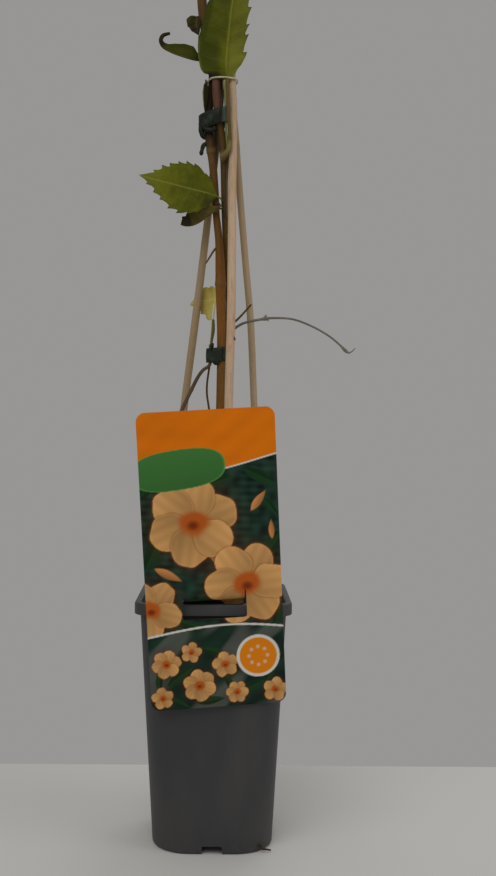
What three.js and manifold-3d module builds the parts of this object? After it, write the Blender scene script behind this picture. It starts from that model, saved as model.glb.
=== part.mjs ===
// A trumpet vine in its nursery pot: a tapered square pot of soil, a tripod of canes
// held by a ring, woody stems held by two ties, toothed leaflets and a hanging label.
// Millimetres, +Z up, +Y towards the back. The origin is the centre of the pot's foot.

import * as THREE from 'three';
import { mergeVertices } from 'three/addons/utils/BufferGeometryUtils.js';
import Module from 'manifold-3d';

const wasm = await Module();
wasm.setup();

// ---------------------------------------------------------------- driving dimensions

const CLEARANCE = 0.3; // gap kept between pieces that touch
const HOLE_GAP = 0.45; // gap round a cane or stem in the soil

// Pot: half widths are measured to the flat sides.
const POT_HEIGHT = 193;
const COLLAR_HALF = 60;
const COLLAR_HEIGHT = 9;
const COLLAR_CORNER = 14.5;
const COLLAR_THICKNESS = 1.6;
const RIM_WIDTH = 5.1; // from the collar's face to the pot's inside
const RIM_ROUND = 1.5;
const WALL_TURN = 0.6; // height over which the wall turns out into the collar
const WALL_TOP_HALF = 55.7;
const WALL_TOP_CORNER = 12.5;
const WALL_FOOT_HALF = 47;
const WALL_FOOT_CORNER = 30;
const WALL_THICKNESS = 1.6;
const FOOT_FILLET = 2.5;
const FOOT_RING = 1.8; // width of the flat ring that the pot stands on
const FLOOR_UNDERSIDE = 6.8;
const FLOOR_THICKNESS = 1.6;
const FOOT_NOTCH = { width: 15.5, height: 6.4, reach: 14 };
const FOOT_PAD_RADIUS = 12; // round pad under the middle of the floor
const DRAIN_RADIUS = 4;
const DRAIN_OFFSET = 24;
const FLOOR_ROUND = 2; // where the floor meets the wall inside

// Soil
const SOIL_LEVEL = 176;
const SOIL_RELIEF = 1.4;
const SOIL_GAP = 0.4; // between the soil and the wall
const SOIL_FOOT_BEVEL = 2.2;
const SOIL_SHOULDER = 4; // how far the soil drops where it meets the wall
const SOIL_RINGS = [0.95, 0.84, 0.71, 0.57, 0.43, 0.29, 0.15]; // shares of the wall's half width
const STEM_DEPTH = 30; // how far the stems stand in the soil
const CANE_FOOT = 60; // height of the canes' lower ends

// Label: a flat card that hooks over the collar with a tongue.
const LABEL = { width: 101.7, above: 135.2, below: 89.5, corner: 7, thickness: 0.8 };
const LABEL_HINGE = new THREE.Vector3(0.45, -67.2, 204.6);
const LABEL_ROLL = THREE.MathUtils.degToRad(3.6);
const LABEL_LEAN = THREE.MathUtils.degToRad(6.5);
const LABEL_YAW = THREE.MathUtils.degToRad(5);
const WINDOW = { width: 48, depth: 21.5, corner: 2.5 };
const TONGUE_WIDTH = 46;

// Ring round the tops of the canes
const RING_LEVEL = 605.2;
const RING_RADIUS = 0.7;

// Leaf blades
const BLADE_THICKNESS = 0.7;
const STALK_THICKNESS = 1.3;
const TOOTH_DEPTH = 0.11; // share of the half width
const FOLD_START = 1.5; // in stalk lengths: a stalk is flat, and the blade folds past it

const FINISH = {
  pot: { color: 0x323334, roughness: 0.55 },
  soil: { color: 0x33261b, roughness: 0.95 },
  cane: { color: 0xc9ae80, roughness: 0.5 },
  ring: { color: 0xcdbf9d, roughness: 0.45 },
  tie: { color: 0x4b5448, roughness: 0.5 },
  card: { color: 0xb4702a, roughness: 0.35 },
  bark: { color: 0x7b5435, roughness: 0.7 },
  olive: { color: 0x62552c, roughness: 0.65 },
  twig: { color: 0x4c3a2b, roughness: 0.8 },
  green: { color: 0x74842f, roughness: 0.5 },
  dark: { color: 0x3d4420, roughness: 0.6 },
  pale: { color: 0xc6bd6a, roughness: 0.6 },
};

// ---------------------------------------------------------------- geometry helpers

// Keeps only positions, with shared vertices merged, and turns the faces outwards.
function closedBody(source) {
  let geometry = source.clone();
  geometry.deleteAttribute('normal');
  geometry.deleteAttribute('uv');
  geometry = mergeVertices(geometry, 1e-4);
  const place = geometry.attributes.position;
  const index = geometry.index.array;
  const corners = [new THREE.Vector3(), new THREE.Vector3(), new THREE.Vector3()];
  let volume = 0;
  for (let k = 0; k < index.length; k += 3) {
    corners.forEach((corner, c) => corner.fromBufferAttribute(place, index[k + c]));
    volume += corners[0].dot(corners[1].clone().cross(corners[2]));
  }
  if (volume < 0) {
    for (let k = 0; k < index.length; k += 3) {
      [index[k], index[k + 1]] = [index[k + 1], index[k]];
    }
  }
  return geometry;
}

function fromPoints(points, triangles) {
  const geometry = new THREE.BufferGeometry().setFromPoints(points);
  geometry.setIndex(triangles.flat());
  return closedBody(geometry);
}

// A closed skin over a row of rings with equal counts, with a fan over each end.
function skin(rings) {
  const count = rings[0].length;
  const points = rings.flat();
  const triangles = [];
  for (let row = 0; row + 1 < rings.length; row += 1) {
    for (let k = 0; k < count; k += 1) {
      const a = row * count + k;
      const b = row * count + ((k + 1) % count);
      triangles.push([a, b, b + count], [a, b + count, a + count]);
    }
  }
  for (const last of [false, true]) {
    const ring = last ? rings[rings.length - 1] : rings[0];
    const first = last ? (rings.length - 1) * count : 0;
    const centre = new THREE.Vector3();
    ring.forEach((corner) => centre.add(corner));
    points.push(centre.divideScalar(count));
    for (let k = 0; k < count; k += 1) {
      const fan = [first + k, first + ((k + 1) % count), points.length - 1];
      triangles.push(last ? fan : fan.reverse());
    }
  }
  return fromPoints(points, triangles);
}

// A ring round a square with rounded corners, centred on the Z axis.
function roundedSquare(half, corner, z, { arc = 6, side = 1 } = {}) {
  const points = [];
  const flat = half - corner;
  for (let quarter = 0; quarter < 4; quarter += 1) {
    const turn = (quarter * Math.PI) / 2;
    const along = new THREE.Vector3(-Math.sin(turn), Math.cos(turn), 0);
    const out = new THREE.Vector3(Math.cos(turn), Math.sin(turn), 0);
    for (let k = 0; k < side; k += 1) {
      const shift = -flat + (2 * flat * k) / side;
      points.push(out.clone().multiplyScalar(half).addScaledVector(along, shift).setZ(z));
    }
    for (let k = 0; k < arc; k += 1) {
      const angle = (Math.PI / 2) * (k / arc);
      const corners = out.clone().multiplyScalar(flat + corner * Math.cos(angle));
      points.push(corners.addScaledVector(along, flat + corner * Math.sin(angle)).setZ(z));
    }
  }
  return points;
}

// A value between evenly spaced ones, eased from each to the next.
function between(values, share) {
  const place = THREE.MathUtils.clamp(share, 0, 1) * (values.length - 1);
  const low = Math.min(Math.floor(place), values.length - 2);
  const ease = THREE.MathUtils.smoothstep(place - low, 0, 1);
  return values[low] + (values[low + 1] - values[low]) * (0.5 * ease + 0.5 * (place - low));
}

function smoothPath(route) {
  const points = route.map(([x, y, z]) => new THREE.Vector3(x, y, z));
  return new THREE.CatmullRomCurve3(points, false, 'centripetal');
}

// A tapering stem along a route of [x, y, z, radius] points.
function stem(route, { sides = 8, spacing = 9, grow = 0 } = {}) {
  const seed = 0.2;
  const path = smoothPath(route);
  const radii = route.map((entry) => entry[3]);
  const steps = Math.max(3, Math.round(path.getLength() / spacing));
  const outline = [];
  for (let k = 0; k < sides; k += 1) {
    const angle = (2 * Math.PI * k) / sides;
    outline.push(new THREE.Vector2(seed * Math.cos(angle), seed * Math.sin(angle)));
  }
  const settings = { steps, extrudePath: path, bevelEnabled: false };
  const geometry = closedBody(new THREE.ExtrudeGeometry(new THREE.Shape(outline), settings));
  const centres = path.getSpacedPoints(steps);
  const place = geometry.attributes.position;
  const corner = new THREE.Vector3();
  for (let k = 0; k < place.count; k += 1) {
    corner.fromBufferAttribute(place, k);
    const gaps = centres.map((centre) => centre.distanceToSquared(corner));
    const nearest = gaps.indexOf(Math.min(...gaps));
    const radius = between(radii, path.getUtoTmapping(nearest / steps)) + grow;
    corner.sub(centres[nearest]).multiplyScalar(radius / seed).add(centres[nearest]);
    place.setXYZ(k, corner.x, corner.y, corner.z);
  }
  return geometry;
}

// ---------------------------------------------------------------- joins and cuts

function toSolid(geometry) {
  const bare = closedBody(geometry);
  const vertProperties = new Float32Array(bare.attributes.position.array);
  const triVerts = new Uint32Array(bare.index.array);
  return new wasm.Manifold(new wasm.Mesh({ numProp: 3, vertProperties, triVerts }));
}

function fromSolid(solid) {
  const mesh = solid.getMesh();
  const geometry = new THREE.BufferGeometry();
  geometry.setAttribute('position', new THREE.BufferAttribute(mesh.vertProperties, 3));
  geometry.setIndex(Array.from(mesh.triVerts));
  return geometry;
}

function join(...pieces) {
  return fromSolid(pieces.map(toSolid).reduce((whole, piece) => whole.add(piece)));
}

function cut(body, tools) {
  return fromSolid(tools.map(toSolid).reduce((left, tool) => left.subtract(tool), toSolid(body)));
}

function block(width, depth, height, x, y, z) {
  return new THREE.BoxGeometry(width, depth, height).translate(x, y, z);
}

// ---------------------------------------------------------------- pot and soil

// Half width and corner radius of the wall's outside at a height.
function wallAt(z) {
  const share = z / (POT_HEIGHT - COLLAR_HEIGHT);
  return {
    half: THREE.MathUtils.lerp(WALL_FOOT_HALF, WALL_TOP_HALF, share),
    corner: THREE.MathUtils.lerp(WALL_FOOT_CORNER, WALL_TOP_CORNER, share),
  };
}

function wallRing(z, inset, options) {
  const wall = wallAt(z);
  return roundedSquare(wall.half - inset, wall.corner - inset, z, options);
}

function makePot() {
  const floorTop = FLOOR_UNDERSIDE + FLOOR_THICKNESS;
  const wallTop = POT_HEIGHT - COLLAR_HEIGHT;
  const recess = FOOT_FILLET + FOOT_RING;
  const rings = [
    wallRing(FLOOR_UNDERSIDE, recess),
    wallRing(0, recess),
    wallRing(0, FOOT_FILLET),
  ];
  for (const share of [1 / 3, 2 / 3, 1]) {
    const angle = (share * Math.PI) / 2;
    rings.push(wallRing(FOOT_FILLET * (1 - Math.cos(angle)), FOOT_FILLET * (1 - Math.sin(angle))));
  }
  // The wall runs up inside the collar to the underside of the rim.
  const rimUnder = POT_HEIGHT - COLLAR_THICKNESS;
  for (const share of [0.3, 0.6, 1]) {
    rings.push(wallRing(THREE.MathUtils.lerp(FOOT_FILLET, rimUnder - WALL_TURN, share), 0));
  }
  const collar = (inset, z) => roundedSquare(COLLAR_HALF - inset, COLLAR_CORNER - inset, z);
  rings.push(
    collar(COLLAR_THICKNESS, rimUnder - WALL_TURN / 3),
    collar(COLLAR_THICKNESS, wallTop),
    collar(0, wallTop),
    collar(0, POT_HEIGHT - RIM_ROUND),
    collar(RIM_ROUND * 0.3, POT_HEIGHT - RIM_ROUND * 0.3),
    collar(RIM_ROUND, POT_HEIGHT),
    collar(RIM_WIDTH - RIM_ROUND / 2, POT_HEIGHT),
    collar(RIM_WIDTH, POT_HEIGHT - RIM_ROUND / 2),
    wallRing(wallTop, WALL_THICKNESS),
    wallRing(wallTop / 2, WALL_THICKNESS),
    wallRing(floorTop + FLOOR_ROUND, WALL_THICKNESS),
    wallRing(floorTop, WALL_THICKNESS + FLOOR_ROUND),
  );
  const { width, height, reach } = FOOT_NOTCH;
  const below = 1; // the tools start under the pot, so that they cut right through
  const notches = [0, 1, 2, 3].map((quarter) => {
    const notch = block(width, reach, height + below, 0, 0, (height - below) / 2);
    return notch.translate(0, reach / 2 - WALL_FOOT_HALF - below, 0).rotateZ((quarter * Math.PI) / 2);
  });
  const drains = [[1, 1], [1, -1], [-1, 1], [-1, -1]].map(([x, y]) => {
    const drain = new THREE.CylinderGeometry(DRAIN_RADIUS, DRAIN_RADIUS, 4 * FLOOR_THICKNESS, 12);
    drain.rotateX(Math.PI / 2);
    return drain.translate(x * DRAIN_OFFSET, y * DRAIN_OFFSET, FLOOR_UNDERSIDE + FLOOR_THICKNESS / 2);
  });
  const padHeight = FLOOR_UNDERSIDE + FLOOR_THICKNESS / 2;
  const pad = new THREE.CylinderGeometry(FOOT_PAD_RADIUS, FOOT_PAD_RADIUS, padHeight, 24);
  pad.rotateX(Math.PI / 2).translate(0, 0, padHeight / 2);
  return join(cut(skin(rings), [...notches, ...drains]), pad);
}

// Crumbs and hollows of the soil's surface.
function soilRelief(x, y) {
  const coarse = Math.sin(x * 0.23 + 1.1) * Math.cos(y * 0.19 - 0.6);
  const fine = Math.sin(x * 0.71 + y * 0.38) * Math.cos(y * 0.64 - x * 0.29 + 2.2);
  return SOIL_RELIEF * (0.7 * coarse + 0.6 * fine);
}

function makeSoil(holes) {
  const counts = { arc: 6, side: 4 };
  const inset = WALL_THICKNESS + SOIL_GAP;
  const base = FLOOR_UNDERSIDE + FLOOR_THICKNESS + CLEARANCE;
  const edge = wallAt(SOIL_LEVEL);
  const rings = [
    wallRing(base, inset + SOIL_FOOT_BEVEL, counts),
    wallRing(base + SOIL_FOOT_BEVEL, inset, counts),
    wallRing(SOIL_LEVEL / 2, inset, counts),
    wallRing(SOIL_LEVEL - SOIL_SHOULDER, inset, counts),
  ];
  for (const share of SOIL_RINGS) {
    const ring = roundedSquare(edge.half * share, edge.corner * share, SOIL_LEVEL, counts);
    ring.forEach((corner) => corner.setZ(SOIL_LEVEL + soilRelief(corner.x, corner.y)));
    rings.push(ring);
  }
  return cut(skin(rings), holes);
}

// ---------------------------------------------------------------- canes and stems

const STEM_FOOT = SOIL_LEVEL - STEM_DEPTH;

const ROUTES = {
  cane_left: [
    [-42.3, 29.5, CANE_FOOT, 3.1],
    [-43.3, 32.5, 176.2, 3.1],
    [-37.6, 29.6, 241.2, 3.1],
    [-32.1, 26.5, 291.2, 3.1],
    [-26.1, 23.5, 342.2, 3.1],
    [-17.6, 17.5, 409.2, 3.1],
    [-11.3, 13, 461.2, 3],
    [-7.6, 11, 493.2, 3],
    [-1.2, 9.3, 551.2, 3],
    [3.4, 7.2, 607.2, 3],
    [4.2, 6.9, 621.2, 3],
    [4.4, 6.8, 635.2, 2.9],
  ],
  cane_right: [
    [40.7, 29.5, CANE_FOOT, 2.8],
    [41.5, 32.5, 176.2, 2.8],
    [32, 23.5, 345.2, 2.8],
    [28.3, 18, 414.2, 2.8],
    [23.9, 14, 461.2, 2.75],
    [20.4, 11, 499.2, 2.75],
    [17.5, 8.6, 531.2, 2.75],
    [15.5, 7, 556.2, 2.75],
    [11, 5.2, 607.2, 2.7],
    [11.1, 4.9, 619.2, 2.7],
    [11.2, 4.8, 631.2, 2.6],
  ],
  cane_front: [
    [9.4, -40, CANE_FOOT, 3.4],
    [9.6, -35.5, 176.2, 3.4],
    [10.7, -24, 344.2, 3.4],
    [12.1, -18.6, 410.2, 3.4],
    [12.4, -12.8, 483.2, 3.3],
    [12.5, -9.8, 520.2, 3.3],
    [13, -6.9, 561.2, 3.2],
    [12.8, -4.9, 583.2, 3.2],
    [11.4, -3.2, 607.2, 3.2],
    [11.1, -3, 623.2, 3.1],
    [11.1, -3, 639.2, 3.1],
  ],
  stem_main: [
    [2.2, -2, STEM_FOOT, 3.7],
    [2.5, -2.8, 186.2, 3.6],
    [3.4, -4.2, 251.2, 3.5],
    [4.2, -5, 339.2, 3.5],
    [4.4, -5, 384.2, 3.3],
    [4.4, -5, 404.2, 3.5],
    [3.8, -5, 428, 3.8],
    [3.6, -5, 441, 4.3],
    [3.3, -5, 452.2, 3.9],
    [2.1, -5, 476.2, 3.1],
    [-0.2, -5, 496.2, 2.8],
    [-1.4, -4.4, 516.2, 3],
    [-3.6, -3, 539.2, 3.3],
    [-5.7, -1.8, 555.2, 3.7],
    [-7, -0.6, 569.2, 3.6],
    [-7.1, 0.4, 579.2, 3.4],
    [-5.8, 1, 593.2, 2.9],
    [-4.4, 1.4, 607.2, 2.8],
    [-5.4, 1.7, 621.2, 3],
    [-8.2, 1.8, 637.2, 3.4],
    [-11.3, 1.5, 653.2, 3.7],
    [-13.2, 1, 673.2, 3.7],
    [-13.6, 0.5, 695.2, 3.5],
  ],
  stem_second: [
    [12.2, 4, STEM_FOOT, 2.5],
    [10.8, 4, 251, 2.3],
    [10.3, 3.4, 341, 2.3],
    [10.1, 2.8, 405, 2.3],
    [9.9, 2.8, 430, 2.2],
    [8.9, 2.7, 446, 2.2],
    [8.2, 2.3, 463, 2.2],
    [6.8, 1, 491.2, 2.5],
    [6.1, 0, 521.2, 2.8],
    [5.9, -1.1, 541.2, 3.3],
    [4, -2, 557.2, 3.4],
    [2, -3, 569.2, 3.3],
    [0, -4, 585.2, 3.3],
    [-1, -5.4, 605.2, 3.2],
    [-0.4, -4.2, 615.2, 2.9],
    [0.8, -1.8, 625.2, 2.4],
    [1.6, -0.4, 633.2, 1.6],
  ],
  shoot_left: [
    [-33.8, 4, STEM_FOOT, 2.1],
    [-35.3, 1, 201.2, 2],
    [-37.8, -4.5, 251.2, 1.9],
    [-37.4, -7.8, 296.2, 1.8],
    [-32.6, -8.8, 325.2, 1.6],
    [-25.9, -8, 341.2, 1.45],
    [-17.3, -6.6, 359.8, 1.4],
    [-12.8, -6, 368.2, 1.35],
    [-9.4, -5.7, 372.4, 1.3],
    [-6.5, -5.3, 374.3, 1.3],
    [-4.6, -4.9, 376.4, 1.3],
    [-4.2, -5.1, 380.5, 1.3],
    [-4.1, -4.9, 386, 1.3],
    [-4.3, -4.5, 392.7, 1.2],
  ],
  shoot_thin: [
    [-5.8, 3, STEM_FOOT, 1],
    [-5.2, 2.4, 201.2, 0.9],
    [-2.4, 0.4, 261.2, 0.8],
    [-2, -0.6, 311.2, 0.8],
    [-5.1, -1, 341.2, 0.8],
    [-6.7, -1, 352.2, 0.8],
    [-6.8, -1, 360.2, 0.8],
    [-4.5, -1.3, 379.2, 0.8],
    [-3.8, -1.5, 392.2, 0.8],
    [-2.2, -0.8, 404.2, 1.1],
    [-2.1, 0.2, 413.2, 1],
  ],
  stalk_long: [
    [8.1, -2.5, 494.9, 1],
    [8, -3.5, 500.2, 0.9],
    [8, -4.2, 524.2, 0.9],
    [8.7, -5, 545.2, 0.9],
    [7.4, -6.1, 562.2, 0.9],
    [6.6, -6.8, 579.2, 0.9],
    [6.3, -7.6, 595.2, 0.9],
    [5.8, -8.1, 605.2, 1],
    [5.9, -8.6, 610.2, 1.1],
  ],
  stalk_bare: [
    [12, 0.2, 403.6, 1.2],
    [17, -2.9, 407, 1.1],
    [22.2, -3.9, 409.8, 1],
    [29.5, -4, 411.7, 1],
    [36, -3.8, 413, 1],
    [39.7, -3.7, 413.6, 1.6],
    [44, -3.5, 414.1, 0.9],
    [61.1, -3, 413.5, 0.8],
    [75.7, -3, 408.5, 0.8],
    [90.5, -3, 400.5, 0.8],
    [100.2, -3.4, 392.6, 0.8],
    [104.2, -3.7, 388.5, 1.5],
    [107, -4, 386.7, 0.8],
    [109.8, -4, 388, 0.5],
    [112, -4, 390.4, 0.4],
  ],
};

// Twigs that grow out of a stem are part of it.
const TWIGS = {
  stem_main: [
    [[1.7, -5, 471.2, 1.2], [-1.2, -5.2, 468.8, 0.8], [-5.1, -5.7, 462.7, 0.7], [-8.4, -6, 457.2, 0.5]],
    [
      [-6.6, -2.8, 553.4, 1.2], [-9.8, -3.8, 553.4, 1.5], [-11.4, -4.2, 550.6, 1.9],
      [-12.4, -4.4, 547.4, 1.6], [-12.9, -4.5, 545.2, 0.9],
    ],
    [[-13.4, 1, 681.2, 1.8], [-16.4, -0.6, 685.7, 1.5], [-18, -1.4, 689.2, 0.8]],
  ],
  stem_second: [
    [[10.2, 2.4, 407.9, 1.3], [14.4, -0.8, 410.6, 0.9], [18.2, -2.2, 413.8, 0.8], [28.5, -2, 425.2, 0.7]],
    [
      [4.9, -2, 540, 1.6], [5, -7, 541.5, 1.7], [6.6, -10.8, 543.6, 1.9], [8.9, -12.7, 546.4, 2],
      [10.1, -13, 553, 2], [10, -12.8, 561, 2], [8.9, -12.4, 574, 1.7], [8.3, -12, 588, 1.6],
      [8.1, -11.8, 601, 1.4],
    ],
  ],
};

const SECTIONS = {
  cane_left: { sides: 10, spacing: 22 },
  cane_right: { sides: 10, spacing: 22 },
  cane_front: { sides: 10, spacing: 22 },
  stem_main: { sides: 8, spacing: 8 },
  stem_second: { sides: 8, spacing: 9 },
  shoot_left: { sides: 6, spacing: 6 },
  shoot_thin: { sides: 6, spacing: 9 },
  stalk_long: { sides: 6, spacing: 9 },
  stalk_bare: { sides: 6, spacing: 3.5 },
};

function makeStem(name) {
  const twigs = (TWIGS[name] ?? []).map((route) => stem(route, { sides: 6, spacing: 3 }));
  const trunk = stem(ROUTES[name], SECTIONS[name]);
  return twigs.length ? join(trunk, ...twigs) : trunk;
}

// ---------------------------------------------------------------- ring, ties, label

function makeRing() {
  const route = [
    [-8.5, 1.6], [-6.5, -3.6], [-4.1, -8.5], [-0.2, -10.1], [5.8, -10.4], [12.2, -8.2], [15.3, -6],
    [16, -2], [15.7, 4], [13.9, 8.6], [7.8, 10.9], [2.6, 11.4], [-3.4, 8.4], [-7.4, 5],
  ];
  const points = route.map(([x, y]) => new THREE.Vector3(x, y, RING_LEVEL));
  const path = new THREE.CatmullRomCurve3(points, true, 'centripetal');
  return closedBody(new THREE.TubeGeometry(path, 52, RING_RADIUS, 6, true));
}

// A ribbon standing on edge round a closed route, sloped along X.
function makeTie({ route, thickness, height, level, slope }) {
  const points = route.map(([x, y]) => new THREE.Vector3(x, y, 0));
  const path = new THREE.CatmullRomCurve3(points, true, 'centripetal');
  const steps = 40;
  const rings = [];
  const triangles = [];
  for (let k = 0; k < steps; k += 1) {
    const middle = path.getPointAt(k / steps);
    const along = path.getTangentAt(k / steps);
    const out = new THREE.Vector3(along.y, -along.x, 0).multiplyScalar(thickness / 2);
    const base = level + slope * middle.x;
    rings.push(
      middle.clone().add(out).setZ(base - height / 2),
      middle.clone().add(out).setZ(base + height / 2),
      middle.clone().sub(out).setZ(base + height / 2),
      middle.clone().sub(out).setZ(base - height / 2),
    );
    for (let side = 0; side < 4; side += 1) {
      const a = k * 4 + side;
      const b = k * 4 + ((side + 1) % 4);
      const c = ((k + 1) % steps) * 4 + ((side + 1) % 4);
      const d = ((k + 1) % steps) * 4 + side;
      triangles.push([a, b, c], [a, c, d]);
    }
  }
  return fromPoints(rings, triangles);
}

const UPPER_TIE = {
  route: [
    [8.7, -6.8], [7.4, -8.6], [2.7, -8.7], [-2.3, -8], [-7.8, -7], [-12.8, -4.7], [-14.7, -0.8],
    [-13.4, 4], [-8.8, 8.6], [-3.6, 11.6], [1.4, 13.1], [5.2, 11], [5.8, 6.2], [7.2, 1], [8.1, -3.2],
  ],
  thickness: 0.9,
  height: 12.5,
  level: 574.8,
  slope: 0.26,
};

const LOWER_TIE = {
  route: [
    [8.7, -5], [7.5, -8.2], [4, -9.4], [-0.6, -8.9], [-4.6, -7.9], [-7.3, -5], [-6.7, -1.2], [-3.6, 1.2],
    [1.2, 0.4], [5.6, -0.7], [8, -2.6],
  ],
  thickness: 0.9,
  height: 11.2,
  level: 384.2,
  slope: 0.07,
};

// An upright rounded rectangle in the XZ plane, as a plate centred on Y = 0.
function plate(left, right, bottom, top, corner, thickness) {
  const shape = new THREE.Shape();
  shape.moveTo(right - corner, bottom);
  shape.absarc(right - corner, bottom + corner, corner, -Math.PI / 2, 0);
  shape.absarc(right - corner, top - corner, corner, 0, Math.PI / 2);
  shape.absarc(left + corner, top - corner, corner, Math.PI / 2, Math.PI);
  shape.absarc(left + corner, bottom + corner, corner, Math.PI, 1.5 * Math.PI);
  const settings = { depth: thickness, bevelEnabled: false, curveSegments: 8 };
  return new THREE.ExtrudeGeometry(shape, settings).translate(0, 0, -thickness / 2).rotateX(Math.PI / 2);
}

// The tongue bends back over the collar and down inside the pot.
function makeTongue() {
  const middle = [[0, 1], [0.4, -2], [2, -5.6], [5.8, -8.4], [11.6, -9.9], [15.8, -13.4], [16.8, -19]];
  const path = new THREE.SplineCurve(middle.map(([y, z]) => new THREE.Vector2(y, z)));
  const steps = 14;
  const half = LABEL.thickness / 2;
  const above = [];
  const below = [];
  for (let k = 0; k <= steps; k += 1) {
    const place = path.getPointAt(k / steps);
    const along = path.getTangentAt(k / steps);
    above.push(new THREE.Vector2(place.x - along.y * half, place.y + along.x * half));
    below.unshift(new THREE.Vector2(place.x + along.y * half, place.y - along.x * half));
  }
  const settings = { depth: TONGUE_WIDTH, bevelEnabled: false };
  const strip = new THREE.ExtrudeGeometry(new THREE.Shape([...above, ...below]), settings);
  // The outline's plane turns from XY to YZ.
  strip.rotateY(Math.PI / 2).rotateX(Math.PI / 2);
  return strip.translate(-TONGUE_WIDTH / 2, 0, 0);
}

function makeLabel() {
  const { width, above, below, corner, thickness } = LABEL;
  const card = plate(-width / 2, width / 2, -below, above, corner, thickness);
  const half = WINDOW.width / 2;
  const window = plate(-half, half, -WINDOW.depth, 0.4, WINDOW.corner, 4 * thickness);
  const label = join(cut(card, [window]), makeTongue());
  label.rotateY(-LABEL_ROLL).rotateX(LABEL_LEAN).rotateZ(LABEL_YAW);
  return label.translate(LABEL_HINGE.x, LABEL_HINGE.y, LABEL_HINGE.z);
}

// ---------------------------------------------------------------- leaves

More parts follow.
